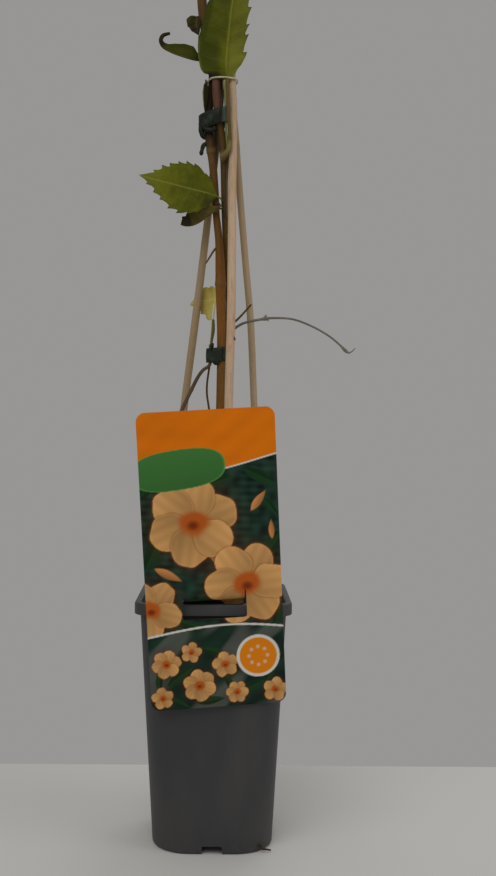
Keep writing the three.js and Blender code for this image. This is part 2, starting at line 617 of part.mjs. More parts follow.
// midrib: points from the stalk's foot to the tip. left, right: half widths, evenly
// spaced along it. facing: the upper face's direction at the foot and at the tip.
// fold: each half's tilt towards that face, in degrees, at the foot and at the tip.
// curl: how much further it turns, in degrees, from the midrib to the margin.
const LEAVES = {
  leaf_top: {
    midrib: [
      [7.2, -10.6, 607.7], [6.9, -11.6, 617], [8.9, -14, 641], [10.4, -16, 654.7], [11.9, -17, 666.2],
      [12.6, -17.6, 685.2], [12, -17, 703.2],
    ],
    left: [17.5, 22.5, 24.5, 23, 21.5, 19, 15, 9, 0.9],
    right: [7, 15.4, 15.6, 16, 15.6, 14, 10.4, 5.4, 0.9],
    facing: [[0.05, -1, 0.1], [0.1, -1, 0.25]],
    fold: { left: [-4, -30], right: [-4, -8] },
    curl: -14,
    stalk: 0,
    teeth: 7,
    toothDepth: { left: 0.03, right: TOOTH_DEPTH },
  },
  leaf_curled: {
    midrib: [
      [-8.7, 0.8, 621.6], [-14.8, -2.5, 621], [-25.4, -4.5, 622.7], [-37.8, -6, 626.5],
      [-44.4, -6.5, 630.2], [-46.8, -6.5, 635.7], [-44.6, -6, 640.7], [-38.6, -5, 642.7],
    ],
    left: [0.7, 3.6, 10.5, 10.5, 8.5, 5.2, 3.6, 3.2, 2],
    right: [0.7, 3.4, 9.5, 9.5, 8, 4.8, 3.4, 3, 2],
    facing: [[0, 0, 1], [1, 0, -0.6]],
    fold: { left: [40, 50], right: [40, 50] },
    curl: 15,
    stalk: 0.1,
    teeth: 0,
  },
  leaf_dark: {
    midrib: [
      [-16.1, -0.4, 657.6], [-17.2, -1.6, 653.6], [-17.2, -2.6, 649.2], [-16.4, -3.2, 645.2],
      [-15.2, -3.6, 641.4],
    ],
    left: [0.6, 1.2, 1.6, 1.6, 1.4, 1, 0.4],
    right: [0.6, 6, 8.4, 7, 5.2, 3.2, 0.4],
    facing: [[-0.25, -0.95, 0.1], [-0.25, -0.95, 0.1]],
    fold: { left: [8, 8], right: [16, 8] },
    curl: 24,
    stalk: 0.06,
    teeth: 0,
  },
  leaf_sliver: {
    midrib: [[-9.4, -1.8, 605.8], [-9.2, -3.6, 599], [-9.3, -4.6, 590], [-10, -4.7, 580]],
    left: [0.6, 2.2, 3, 2.6, 1.6, 0.4],
    right: [0.6, 2, 2.6, 2.2, 1.4, 0.4],
    facing: [[-0.6, -0.8, 0], [-0.6, -0.8, 0]],
    fold: { left: [8, 12], right: [8, 12] },
    curl: 0,
    stalk: 0.12,
    teeth: 0,
  },
  leaf_middle: {
    midrib: [
      [4.2, -2, 507.7], [3.9, -6, 508.8], [1, -9.4, 510], [-7.7, -13, 512.2], [-21.1, -17.2, 514.6],
      [-35.2, -20.8, 517.4], [-48.5, -23.6, 520.1], [-59.3, -26, 522.6],
    ],
    left: [0.7, 0.9, 13.5, 19.5, 22.5, 20, 13.5, 5.5, 0.3],
    right: [0.7, 0.9, 14, 20.5, 21, 18.5, 13, 5.5, 0.3],
    facing: [[-0.1, -1, 0.3], [-0.25, -1, 0.3]],
    fold: { left: [6, 6], right: [6, 6] },
    curl: -8,
    stalk: 0.15,
    teeth: 7,
  },
  leaf_folded: {
    midrib: [
      [4.4, -1.6, 501.4], [4.3, -6.6, 501.2], [1, -10.8, 499.6], [-6.3, -12.2, 494.8],
      [-12.5, -13, 489.6], [-18.5, -13.6, 486.4], [-24.5, -14.2, 485.6], [-28.4, -14.6, 486.6],
    ],
    left: [0.7, 0.9, 3.2, 7, 11, 13, 12.5, 10.5, 6],
    right: [0.7, 0.9, 3.2, 7, 11, 13, 12.5, 10.5, 6],
    facing: [[0, 0.1, 1], [0.1, 0.05, 1]],
    fold: { left: [74, 76], right: [74, 76] },
    curl: 6,
    stalk: 0.2,
    teeth: 0,
  },
  leaf_pale: {
    midrib: [
      [-2.1, 0.6, 414], [-1.4, 2.2, 421], [-0.8, 4.6, 426.6], [-1.9, 8.4, 429.4], [-6, 14, 430.2],
      [-10.5, 19.2, 430.4], [-15.5, 23.6, 430], [-21.3, 27, 428.2],
    ],
    left: [0.6, 0.6, 0.6, 0.6, 0.8, 4, 16, 15, 11.5, 9, 6, 3.5, 0.4],
    right: [0.6, 0.6, 0.6, 0.6, 2, 9, 11.5, 11.5, 11, 9, 6, 3.5, 0.4],
    facing: [[-0.7, -0.7, 0], [-0.7, -0.7, 0]],
    fold: { left: [0, -6], right: [0, -4] },
    curl: -4,
    stalk: 0.34,
    teeth: 5,
  },
  leaf_young_left: {
    midrib: [
      [-18.4, 0.5, 693.2], [-21, -0.8, 698.6], [-26, -3, 709.4], [-29.4, -6, 719.4], [-30.8, -10, 725.2],
    ],
    left: [0.7, 1, 6, 8.2, 7, 4, 0.3],
    right: [0.7, 1, 6, 8.2, 7, 4, 0.3],
    facing: [[0.5, -0.6, 0.6], [0.5, -0.4, 1]],
    fold: { left: [14, 14], right: [14, 14] },
    curl: 0,
    stalk: 0.16,
    teeth: 5,
  },
  leaf_young_back: {
    midrib: [
      [-12.1, 4.8, 687.8], [-10.4, 7.8, 694.2], [-6.8, 13, 704.2], [-3.4, 19, 712.2], [-1.2, 25, 716.2],
    ],
    left: [0.7, 1, 5.4, 7.4, 6.4, 3.6, 0.3],
    right: [0.7, 1, 5.4, 7.4, 6.4, 3.6, 0.3],
    facing: [[-0.4, -0.6, 0.6], [-0.3, -0.4, 1]],
    fold: { left: [14, 14], right: [14, 14] },
    curl: 0,
    stalk: 0.16,
    teeth: 5,
  },
};

// One toothed blade with its stalk: five points across at each station, on both faces.
function makeLeaf({ midrib, left, right, facing, fold, curl, stalk, teeth, toothDepth }) {
  const path = smoothPath(midrib);
  const stations = teeth ? 2 * teeth + 3 : 12;
  const tilt = (pair, share) => THREE.MathUtils.degToRad(THREE.MathUtils.lerp(...pair, share));
  const [foot, tip] = facing.map((direction) => new THREE.Vector3(...direction));
  const depth = toothDepth ?? { left: TOOTH_DEPTH, right: TOOTH_DEPTH };
  const upper = [];
  const lower = [];
  for (let k = 0; k <= stations; k += 1) {
    const share = k / stations;
    const middle = path.getPointAt(share);
    const along = path.getTangentAt(share);
    const face = foot.clone().lerp(tip, share);
    face.addScaledVector(along, -face.dot(along)).normalize();
    const across = along.clone().cross(face);
    const onBlade = share > stalk && k > 0 && k < stations;
    const thickness = share > stalk || stalk === 0 ? BLADE_THICKNESS : STALK_THICKNESS;
    const wave = teeth && onBlade ? (k % 2 === 1 ? 1 : -1) : 0;
    const open = stalk ? Math.min(share / (FOLD_START * stalk), 1) : 1;
    const half = (sign, side, widths) => {
      const angle = tilt(fold[side], share) * open;
      return { sign, width: between(widths, share), angle, tooth: wave * depth[side] };
    };
    const halves = [half(-1, 'left', left), half(1, 'right', right)];
    const row = { upper: [], lower: [] };
    for (const { sign, width, angle, tooth } of halves) {
      const turn = THREE.MathUtils.degToRad(curl) / 2;
      const place = middle.clone();
      const pair = { upper: [], lower: [] };
      for (const [step, bend] of [[1, angle + turn / 2], [2, angle + turn * 1.5]]) {
        const reach = (width / 2) * (step === 2 ? 1 + 2 * tooth : 1);
        place.addScaledVector(across, sign * Math.cos(bend) * reach);
        place.addScaledVector(face, Math.sin(bend) * reach);
        if (step === 2) place.addScaledVector(along, tooth > 0 ? tooth * width * 1.2 : 0);
        const normal = face.clone().multiplyScalar(Math.cos(bend));
        normal.addScaledVector(across, -sign * Math.sin(bend));
        pair.upper.push(place.clone().addScaledVector(normal, thickness / 2));
        pair.lower.push(place.clone().addScaledVector(normal, -thickness / 2));
      }
      for (const side of ['upper', 'lower']) {
        const rib = middle.clone().addScaledVector(face, (side === 'upper' ? 1 : -1) * thickness / 2);
        row[side].push(...(sign < 0 ? [...pair[side].reverse(), rib] : pair[side]));
      }
    }
    upper.push(...row.upper);
    lower.push(...row.lower);
  }
  return fromPoints([...upper, ...lower], bladeTriangles(stations, upper.length));
}

// Alike on both faces, with a rim of quads between them.
function bladeTriangles(stations, lowerStart) {
  const across = 5;
  const triangles = [];
  const quad = (a, b, c, d) => triangles.push([a, b, c], [a, c, d]);
  for (let k = 0; k < stations; k += 1) {
    for (let m = 0; m + 1 < across; m += 1) {
      const a = k * across + m;
      const b = a + 1;
      const [c, d] = [b + across, a + across];
      const split = m < 2 ? [[a, b, c], [a, c, d]] : [[a, b, d], [b, c, d]];
      for (const triangle of split) {
        triangles.push(triangle);
        triangles.push(triangle.map((corner) => corner + lowerStart).reverse());
      }
    }
    const next = (k + 1) * across;
    quad(k * across + lowerStart, k * across, next, next + lowerStart);
    const end = across - 1;
    quad(k * across + end, k * across + end + lowerStart, next + end + lowerStart, next + end);
  }
  for (let m = 0; m + 1 < across; m += 1) {
    const last = stations * across + m;
    quad(m, m + lowerStart, m + 1 + lowerStart, m + 1);
    quad(last + 1, last + 1 + lowerStart, last + lowerStart, last);
  }
  return triangles;
}

// ---------------------------------------------------------------- the assembly

const group = new THREE.Group();

function addPiece(name, geometry, finish) {
  const { color, roughness } = FINISH[finish];
  const material = new THREE.MeshStandardMaterial({ color, roughness, metalness: 0 });
  const mesh = new THREE.Mesh(geometry, material);
  mesh.name = name;
  group.add(mesh);
}

const CANES = ['cane_left', 'cane_right', 'cane_front'];
const ROOTED = ['stem_main', 'stem_second', 'shoot_left', 'shoot_thin'];

// Each hole follows its cane or stem, a little wider and past its lower end.
function soilHole(name) {
  const route = ROUTES[name].map((entry) => [...entry]);
  route[0][2] -= CLEARANCE;
  return stem(route, { ...SECTIONS[name], grow: HOLE_GAP });
}

addPiece('pot', makePot(), 'pot');
addPiece('soil', makeSoil([...CANES, ...ROOTED].map(soilHole)), 'soil');
for (const name of CANES) {
  addPiece(name, makeStem(name), 'cane');
}
addPiece('top_ring', makeRing(), 'ring');
addPiece('tie_upper', makeTie(UPPER_TIE), 'tie');
addPiece('tie_lower', makeTie(LOWER_TIE), 'tie');
addPiece('label', makeLabel(), 'card');
addPiece('stem_main', makeStem('stem_main'), 'bark');
addPiece('stem_second', makeStem('stem_second'), 'olive');
addPiece('shoot_left', makeStem('shoot_left'), 'twig');
addPiece('shoot_thin', makeStem('shoot_thin'), 'olive');
addPiece('stalk_long', makeStem('stalk_long'), 'green');
addPiece('stalk_bare', makeStem('stalk_bare'), 'twig');

const LEAF_FINISH = { leaf_dark: 'dark', leaf_sliver: 'dark', leaf_folded: 'dark', leaf_pale: 'pale' };
for (const [name, leaf] of Object.entries(LEAVES)) {
  addPiece(name, makeLeaf(leaf), LEAF_FINISH[name] ?? 'green');
}

export default group;
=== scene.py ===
"""A trumpet vine on a tripod of canes, in its square nursery pot with a hanging label.

An add-on run as a script. Each operator makes one piece, or one group of like pieces,
over the solid model of the same name. The tables are in millimetres, +Z up and +Y to
the back, with the origin at the middle of the pot's foot. Blender gets metres.
"""

import math

import bpy
import numpy as np
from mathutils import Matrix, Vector


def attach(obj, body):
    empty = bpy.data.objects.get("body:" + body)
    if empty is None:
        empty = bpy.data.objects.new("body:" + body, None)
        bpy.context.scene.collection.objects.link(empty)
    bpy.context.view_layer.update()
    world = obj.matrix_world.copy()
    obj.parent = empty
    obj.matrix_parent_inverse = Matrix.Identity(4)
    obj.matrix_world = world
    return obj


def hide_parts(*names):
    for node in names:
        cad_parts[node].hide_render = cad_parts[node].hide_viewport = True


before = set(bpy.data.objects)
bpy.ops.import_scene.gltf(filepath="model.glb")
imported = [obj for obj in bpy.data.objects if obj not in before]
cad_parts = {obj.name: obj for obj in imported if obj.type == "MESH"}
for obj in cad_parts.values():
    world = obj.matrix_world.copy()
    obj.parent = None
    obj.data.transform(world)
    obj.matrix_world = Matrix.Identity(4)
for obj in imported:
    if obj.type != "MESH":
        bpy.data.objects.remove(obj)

bl_info = {
    "name": "Potted Trumpet Vine",
    "version": (1, 0, 0),
    "blender": (4, 5, 0),
    "location": "View3D > Sidebar > Vine",
    "description": "Makes a trumpet vine on canes in a square pot, with its label",
    "category": "Add Mesh",
}

MM = 0.001
BODY = "root"


def tint(red, green, blue):
    """The linear colour, with full alpha, of an 8-bit display colour."""
    return tuple(linear(value / 255) for value in (red, green, blue)) + (1.0,)


def linear(value):
    """One display value from 0 to 1 as a linear one."""
    if value <= 0.04045:
        return value / 12.92
    return ((value + 0.055) / 1.055) ** 2.4


# ------------------ settings


def length_setting(name, description, default):
    return bpy.props.FloatProperty(
        name=name, description=description, default=default, min=0, unit="LENGTH", subtype="DISTANCE"
    )


def colour_setting(name, description, default):
    return bpy.props.FloatVectorProperty(
        name=name, description=description, default=default, size=4, min=0, max=1, subtype="COLOR"
    )


class VinePotSettings(bpy.types.PropertyGroup):
    """Sizes and colours of the nursery pot. Half widths go from the middle to a flat side."""

    height: length_setting("Height", "From the foot to the top of the rim", 0.193)
    collar_half: length_setting("Collar half width", "Half the collar's width", 0.060)
    collar_height: length_setting("Collar height", "How far the collar turns down", 0.009)
    rim_width: length_setting("Rim width", "From the collar's face to the inside", 0.0051)
    wall_top_half: length_setting("Wall top half width", "Half width under the collar", 0.0557)
    wall_foot_half: length_setting("Wall foot half width", "Half width at the foot", 0.047)
    wall: length_setting("Wall thickness", "Thickness of the moulded wall", 0.0016)
    plastic: colour_setting("Plastic", "Main colour of the pot", tint(56, 56, 59))
    worn: colour_setting("Worn plastic", "Colour of scuffs and dust", tint(70, 69, 68))


class VineSoilSettings(bpy.types.PropertyGroup):
    """The potting soil's level, crumbs and colours."""

    level: length_setting("Level", "Height of the soil above the foot", 0.176)
    relief: length_setting("Relief", "Height of the lumps in the surface", 0.0014)
    crumbs: bpy.props.IntProperty(
        name="Crumbs", description="Number of crumbs and chips on top", default=520, min=0, max=2000
    )
    peat: colour_setting("Peat", "Dark colour of the soil", tint(52, 38, 27))
    fibre: colour_setting("Fibre", "Colour of the lighter fibres", tint(104, 80, 55))


class VineCaneSettings(bpy.types.PropertyGroup):
    """The three canes of the tripod."""

    thickness: bpy.props.FloatProperty(
        name="Thickness", description="Share of the canes' own thickness", default=1.0, min=0.8, max=1.1
    )
    grain: length_setting("Grain", "Depth of the grain along the canes", 0.00006)
    straw: colour_setting("Straw", "Main colour of the canes", tint(206, 183, 151))
    warm: colour_setting("Warm straw", "Colour of the warmer streaks", tint(200, 162, 132))
    stain: colour_setting("Stain", "Colour of the darker streaks", tint(132, 106, 72))
    aged: colour_setting("Aged straw", "Colour of the greyed canes and tops", tint(151, 130, 94))


class VineTieSettings(bpy.types.PropertyGroup):
    """The ring round the canes and the two ribbons round the stems."""

    ribbon: length_setting("Ribbon thickness", "Thickness of the tie ribbon", 0.0006)
    crease: length_setting("Crease", "Depth of the ribbon's creases", 0.0003)
    ribbon_green: colour_setting("Ribbon", "Colour of the tie ribbon", tint(27, 29, 22))
    # The sheen colour paints a sheen on the ribbon, towards its right and in random patches.
    ribbon_sheen: colour_setting("Ribbon sheen", "Colour of its greener patches", tint(68, 86, 70))
    ring_cream: colour_setting("Ring", "Colour of the ring", tint(204, 196, 166))


class VineLabelSettings(bpy.types.PropertyGroup):
    """The hanging card and its plain printed pattern."""

    width: length_setting("Width", "Width of the card", 0.1017)
    above: length_setting("Above the hinge", "Height above the tongue's fold", 0.1352)
    below: length_setting("Below the hinge", "Height below the tongue's fold", 0.0895)
    corner: length_setting("Corner", "Radius of the card's corners", 0.007)
    thickness: length_setting("Thickness", "Thickness of the card", 0.0008)
    print_cell: length_setting("Print cell", "Size of one cell of the printed face", 0.0006)
    header: colour_setting("Header", "Orange of the header and badge", tint(234, 122, 4))
    petal: colour_setting("Petal", "Apricot of the petals", tint(226, 172, 108))
    throat: colour_setting("Throat", "Deep orange of the throats", tint(190, 92, 26))
    ground: colour_setting("Ground", "Dark green behind the flowers", tint(18, 40, 30))
    foliage: colour_setting("Foliage", "Green of the printed leaves", tint(48, 104, 56))
    back: colour_setting("Back", "White of the unprinted back", tint(224, 222, 214))


class VineStemSettings(bpy.types.PropertyGroup):
    """Bark, twigs and leaf stalks."""

    furrow: length_setting("Furrow", "Depth of the bark's furrows", 0.00016)
    joint: length_setting("Joint", "Height of the rings where leaves grew", 0.00045)
    bark_low: colour_setting("Bark, low", "Brown of the older bark", tint(130, 84, 30))
    bark_high: colour_setting("Bark, high", "Brown of the younger bark", tint(92, 66, 31))
    bark_dark: colour_setting("Bark furrows", "Dark of the furrows", tint(56, 34, 20))
    olive: colour_setting("Olive bark", "Green brown of the second stem", tint(84, 60, 27))
    twig: colour_setting("Twig", "Brown of the dry shoot", tint(106, 84, 66))
    bare: colour_setting("Bare stalk", "Grey of the bare leaf stalk", tint(128, 121, 108))
    stalk: colour_setting("Stalk", "Pale green of the living stalk", tint(128, 132, 72))


class VineLeafSettings(bpy.types.PropertyGroup):
    """The leaflets."""

    blade: length_setting("Blade", "Thickness of a leaflet", 0.0004)
    tooth: bpy.props.FloatProperty(
        name="Tooth", description="Share of each leaflet's own tooth depth", default=1.0, min=0, max=2
    )
    vein: length_setting("Vein", "Height of the side veins", 0.00014)
    quilt: length_setting("Quilt", "How far the blade swells between veins", 0.0003)
    green: colour_setting("Green", "Main colour of the green leaflets", tint(100, 102, 18))
    # Deep is also the colour of painted shade, and light that of painted light.
    deep: colour_setting("Deep green", "Darker patches of the green leaflets", tint(58, 64, 10))
    light: colour_setting("Light green", "Veins and paler patches", tint(142, 142, 66))
    # This colour also paints shade in the foot lobe of the top leaflet and at the base of the middle one.
    dry: colour_setting("Dry", "Withered margins and tips", tint(44, 39, 27))
    dark: colour_setting("Dark leaf", "Main colour of the dark leaflets", tint(84, 68, 15))
    pale: colour_setting("Pale leaf", "Main colour of the yellowed leaflet", tint(205, 192, 100))


class VineStageSettings(bpy.types.PropertyGroup):
    """The floor, the light and the camera."""

    floor: colour_setting("Floor", "Colour of the plain floor", tint(219, 217, 213))
    sky: colour_setting("Sky", "Colour of the even light all round", (1.0, 0.985, 0.965, 1.0))
    key: bpy.props.FloatProperty(
        name="Key light", description="Power of the large soft light", default=12, min=0, unit="POWER"
    )
    fill: bpy.props.FloatProperty(
        name="Fill", description="Strength of the even light all round", default=0.31, min=0, max=5
    )
    distance: length_setting("Camera distance", "From the camera to the pot's middle", 0.850)
    eye: length_setting("Camera height", "Height of the camera above the floor", 0.3232)


def in_mm(settings, *names):
    """These lengths of a group of settings, in millimetres."""
    return [getattr(settings, name) / MM for name in names]


SETTINGS = {
    "vine_pot": VinePotSettings,
    "vine_soil": VineSoilSettings,
    "vine_canes": VineCaneSettings,
    "vine_ties": VineTieSettings,
    "vine_label": VineLabelSettings,
    "vine_stems": VineStemSettings,
    "vine_leaves": VineLeafSettings,
    "vine_stage": VineStageSettings,
}


# ------------------ lines and noise


def smooth(value):
    """Eases 0 to 1."""
    value = np.clip(value, 0, 1)
    return value * value * (3 - 2 * value)


def between(values, share):
    """A value between evenly spaced ones, half eased from each to the next."""
    values = np.asarray(values, float)
    place = np.clip(share, 0, 1) * (len(values) - 1)
    low = np.minimum(np.floor(place).astype(int), len(values) - 2)
    rest = place - low
    return values[low] + (values[low + 1] - values[low]) * (0.5 * smooth(rest) + 0.5 * rest)


def unit(vectors):
    return vectors / np.maximum(np.linalg.norm(vectors, axis=-1, keepdims=True), 1e-9)


def circle(count):
    """Evenly spaced angles all round."""
    return np.linspace(0, 2 * math.pi, count, endpoint=False)


def spin(axis, angle):
    """The matrix of a turn about axis 0, 1 or 2, by an angle in radians."""
    after = (axis + 1) % 3
    last = (axis + 2) % 3
    matrix = np.eye(3)
    matrix[after, after] = matrix[last, last] = math.cos(angle)
    matrix[last, after] = math.sin(angle)
    matrix[after, last] = -math.sin(angle)
    return matrix


def ripple(points, span, seed, waves=6):
    """Smooth seeded noise, about -1 to 1, with swells about span millimetres long."""
    chance = np.random.default_rng(seed)
    total = np.zeros(len(points))
    for _ in range(waves):
        heading = unit(chance.normal(size=3)) * (2 * math.pi / span) * chance.uniform(0.6, 1.5)
        total += np.sin(np.asarray(points) @ heading + chance.uniform(0, 2 * math.pi))
    return total / (1.2 * math.sqrt(waves))


class Route:
    """A smooth line through points: centripetal, and evenly spaced along its length."""

    per_span = 24

    def __init__(self, points, closed=False):
        points = np.asarray(points, float)
        count = len(points)
        if closed:
            around = [points[(k - 1) % count] for k in range(count + 3)]
            spans = count
        else:
            first = 2 * points[0] - points[1]
            last = 2 * points[-1] - points[-2]
            around = [first, *points, last]
            spans = count - 1
        dense = []
        for k in range(spans):
            dense.append(self.span(*around[k : k + 4]))
        dense.append([around[spans + 1]])
        self.points = np.concatenate(dense)
        self.place = np.linspace(0, 1, len(self.points))
        steps = np.linalg.norm(np.diff(self.points, axis=0), axis=1)
        run = np.concatenate([[0], np.cumsum(steps)])
        self.length = run[-1]
        self.run = run / run[-1]

    def span(self, before, start, end, after):
        """The points from start to just before end."""
        gaps = [
            max(np.linalg.norm(b - a), 1e-8) ** 0.5
            for a, b in ((before, start), (start, end), (end, after))
        ]
        leave = (start - before) / gaps[0] - (end - before) / (gaps[0] + gaps[1]) + (end - start) / gaps[1]
        arrive = (end - start) / gaps[1] - (after - start) / (gaps[1] + gaps[2]) + (after - end) / gaps[2]
        leave = leave * gaps[1]
        arrive = arrive * gaps[1]
        t = np.linspace(0, 1, self.per_span, endpoint=False)[:, None]
        square = 3 * (end - start) - 2 * leave - arrive
        cube = 2 * (start - end) + leave + arrive
        return start + leave * t + square * t**2 + cube * t**3

    def at(self, share):
        """The points at these shares of the length."""
        return np.stack([np.interp(share, self.run, self.points[:, k]) for k in range(3)], axis=-1)

    def heading(self, share):
        """The line's direction at these shares of the length."""
        step = 0.004
        ahead = self.at(np.clip(share + step, 0, 1))
        behind = self.at(np.clip(share - step, 0, 1))
        return unit(ahead - behind)

    def knot(self, share):
        """The same places, counted evenly from one given point to the next."""
        return np.interp(share, self.run, self.place)


def outward(points, faces):
    """The faces of a closed skin, all turned to the outside."""
    points = np.asarray(points, float)
    fans = [[face[0], face[k], face[k + 1]] for face in faces for k in range(1, len(face) - 1)]
    a, b, c = (points[np.array(fans)[:, k]] - points.mean(0) for k in range(3))
    if np.sum(a * np.cross(b, c)) > 0:
        return faces
    return [face[::-1] for face in faces]


def stacked(rings):
    """Points and faces of a closed skin over rings, with a fan over each end."""
    count = len(rings[0])
    points = np.concatenate([*rings, [rings[0].mean(0)], [rings[-1].mean(0)]])
    faces = sheet_faces(len(rings), count, wrap=True)
    foot = len(rings) * count
    for k in range(count):
        after = (k + 1) % count
        faces.append([foot, after, k])
        faces.append([foot + 1, foot - count + k, foot - count + after])
    return points, outward(points, faces)


class Shell:
    """Points, faces and named marks that become one mesh."""

    def __init__(self):
        self.points = []
        self.faces = []
        self.marks = {}
        self.count = 0

    def add(self, points, faces, sheet=False, **marks):
        """Adds a closed skin, turned to face outwards, or an open sheet as it is."""
        points = np.asarray(points, float).reshape(-1, 3)
        if not sheet:
            faces = outward(points, faces)
        for name in {**self.marks, **marks}:
            values = marks.get(name, 0.0)
            values = np.broadcast_to(np.asarray(values, float).ravel(), (len(points),))
            self.marks.setdefault(name, [np.zeros(self.count)]).append(values)
        self.faces.extend([[corner + self.count for corner in face] for face in faces])
        self.points.append(points)
        self.count += len(points)

    def mesh(self, name):
        mesh = bpy.data.meshes.new(name)
        mesh.from_pydata((np.concatenate(self.points) * MM).tolist(), [], self.faces)
        for mark, parts in self.marks.items():
            layer = mesh.attributes.new(mark, "FLOAT", "POINT")
            layer.data.foreach_set("value", np.concatenate(parts).astype(np.float32))
        mesh.update()
        mesh.shade_smooth()
        return mesh

    def piece(self, name, material, slot, node, sharp=None):
        """The finished mesh as a piece of the plant that stands for its solid."""
        return settle(placed(name, self.mesh(name)), material, slot, node, sharp)


def placed(name, data):
    """A new object in the scene."""
    thing = bpy.data.objects.new(name, data)
    bpy.context.scene.collection.objects.link(thing)
    return thing


def settle(thing, material, slot, node, sharp=None):
    """Gives an object its material and its place in the plant. Edges past sharp degrees stay sharp."""
    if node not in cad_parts:
        raise RuntimeError(f"the solid model has no {node}")
    if not len(thing.data.polygons):
        raise RuntimeError(f"{thing.name} came out empty")
    thing.data.materials.clear()
    thing.data.materials.append(material)
    if sharp is not None:
        thing.data.set_sharp_from_angle(angle=math.radians(sharp))
    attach(thing, BODY)
    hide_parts(node)
    return thing


def sheet_faces(rows, columns, wrap=False, loop=False):
    """Quads over a grid of points. It closes on itself across if it wraps, and along if it loops."""
    faces = []
    for row in range(rows if loop else rows - 1):
        here = row * columns
        ahead = (row + 1) % rows * columns
        for column in range(columns if wrap else columns - 1):
            beside = (column + 1) % columns
            faces.append([here + column, here + beside, ahead + beside, ahead + column])
    return faces


def rod(shell, route_points, sides=16, spacing=3.0, relief=None, swell=None, grow=1.0, **marks):
    """A round rod along a route of [x, y, z, radius] points, with softly rounded ends.

    A mark is one value, or a function of the share of the rod's length.
    """
    table = np.asarray(route_points, float)
    route = Route(table[:, :3])
    rows = max(8, int(round(route.length / spacing)))
    share = np.linspace(0, 1, rows + 1)
    end = min(0.45 * table[0, 3], 0.8) / route.length
    share = np.unique(np.concatenate([[0, 0.3 * end, end], share[1:-1], [1 - end, 1 - 0.3 * end, 1]]))
    centre = route.at(share)
    along = route.heading(share)
    radius = between(table[:, 3], route.knot(share)) * grow
    if swell is not None:
        radius = radius + swell(centre)
    nearest = np.minimum(share, 1 - share) / end
    radius = radius * np.where(nearest < 1, 0.72 + 0.28 * np.sqrt(np.clip(nearest, 0, 1)), 1)
    side = unit(np.cross(along[0], [0.31, 0.9, 0.13]))
    across = []
    for heading in along:
        side = unit(side - heading * np.dot(side, heading))
        across.append(side)
    up = np.cross(along, across)
    angle = circle(sides)
    out = np.cos(angle)[:, None] * np.array(across)[:, None] + np.sin(angle)[:, None] * up[:, None]
    reach = radius[:, None]
    if relief is not None:
        reach = reach + relief((share * route.length)[:, None], angle) * np.clip(nearest, 0, 1)[:, None]
    points, faces = stacked(list(centre[:, None] + out * reach[..., None]))
    at = np.concatenate([np.repeat(share, sides), [0, 1]])
    given = {name: value(at) if callable(value) else value for name, value in marks.items()}
    shell.add(points, faces, **given)


def furrows(depth, seed, ridges=9):
    """Furrows that run along a stem and wander round it."""
    chance = np.random.default_rng(seed)
    plans = [(chance.integers(2, ridges), chance.uniform(20, 60), chance.uniform(0, 6)) for _ in range(7)]

    def relief(run, turn):
        waves = [
            np.sin(ridge * turn + 1.6 * np.sin(run / sway + start) + start)
            for ridge, sway, start in plans
        ]
        return depth * sum(waves) / 2.6

    return relief


def rings_at(levels, height, width=1.5):
    """Swollen rings at these heights on a stem."""

    def swell(centre):
        return sum(height * np.exp(-(((centre[:, 2] - level) / width) ** 2)) for level in levels)

    return swell


# ------------------ finishes


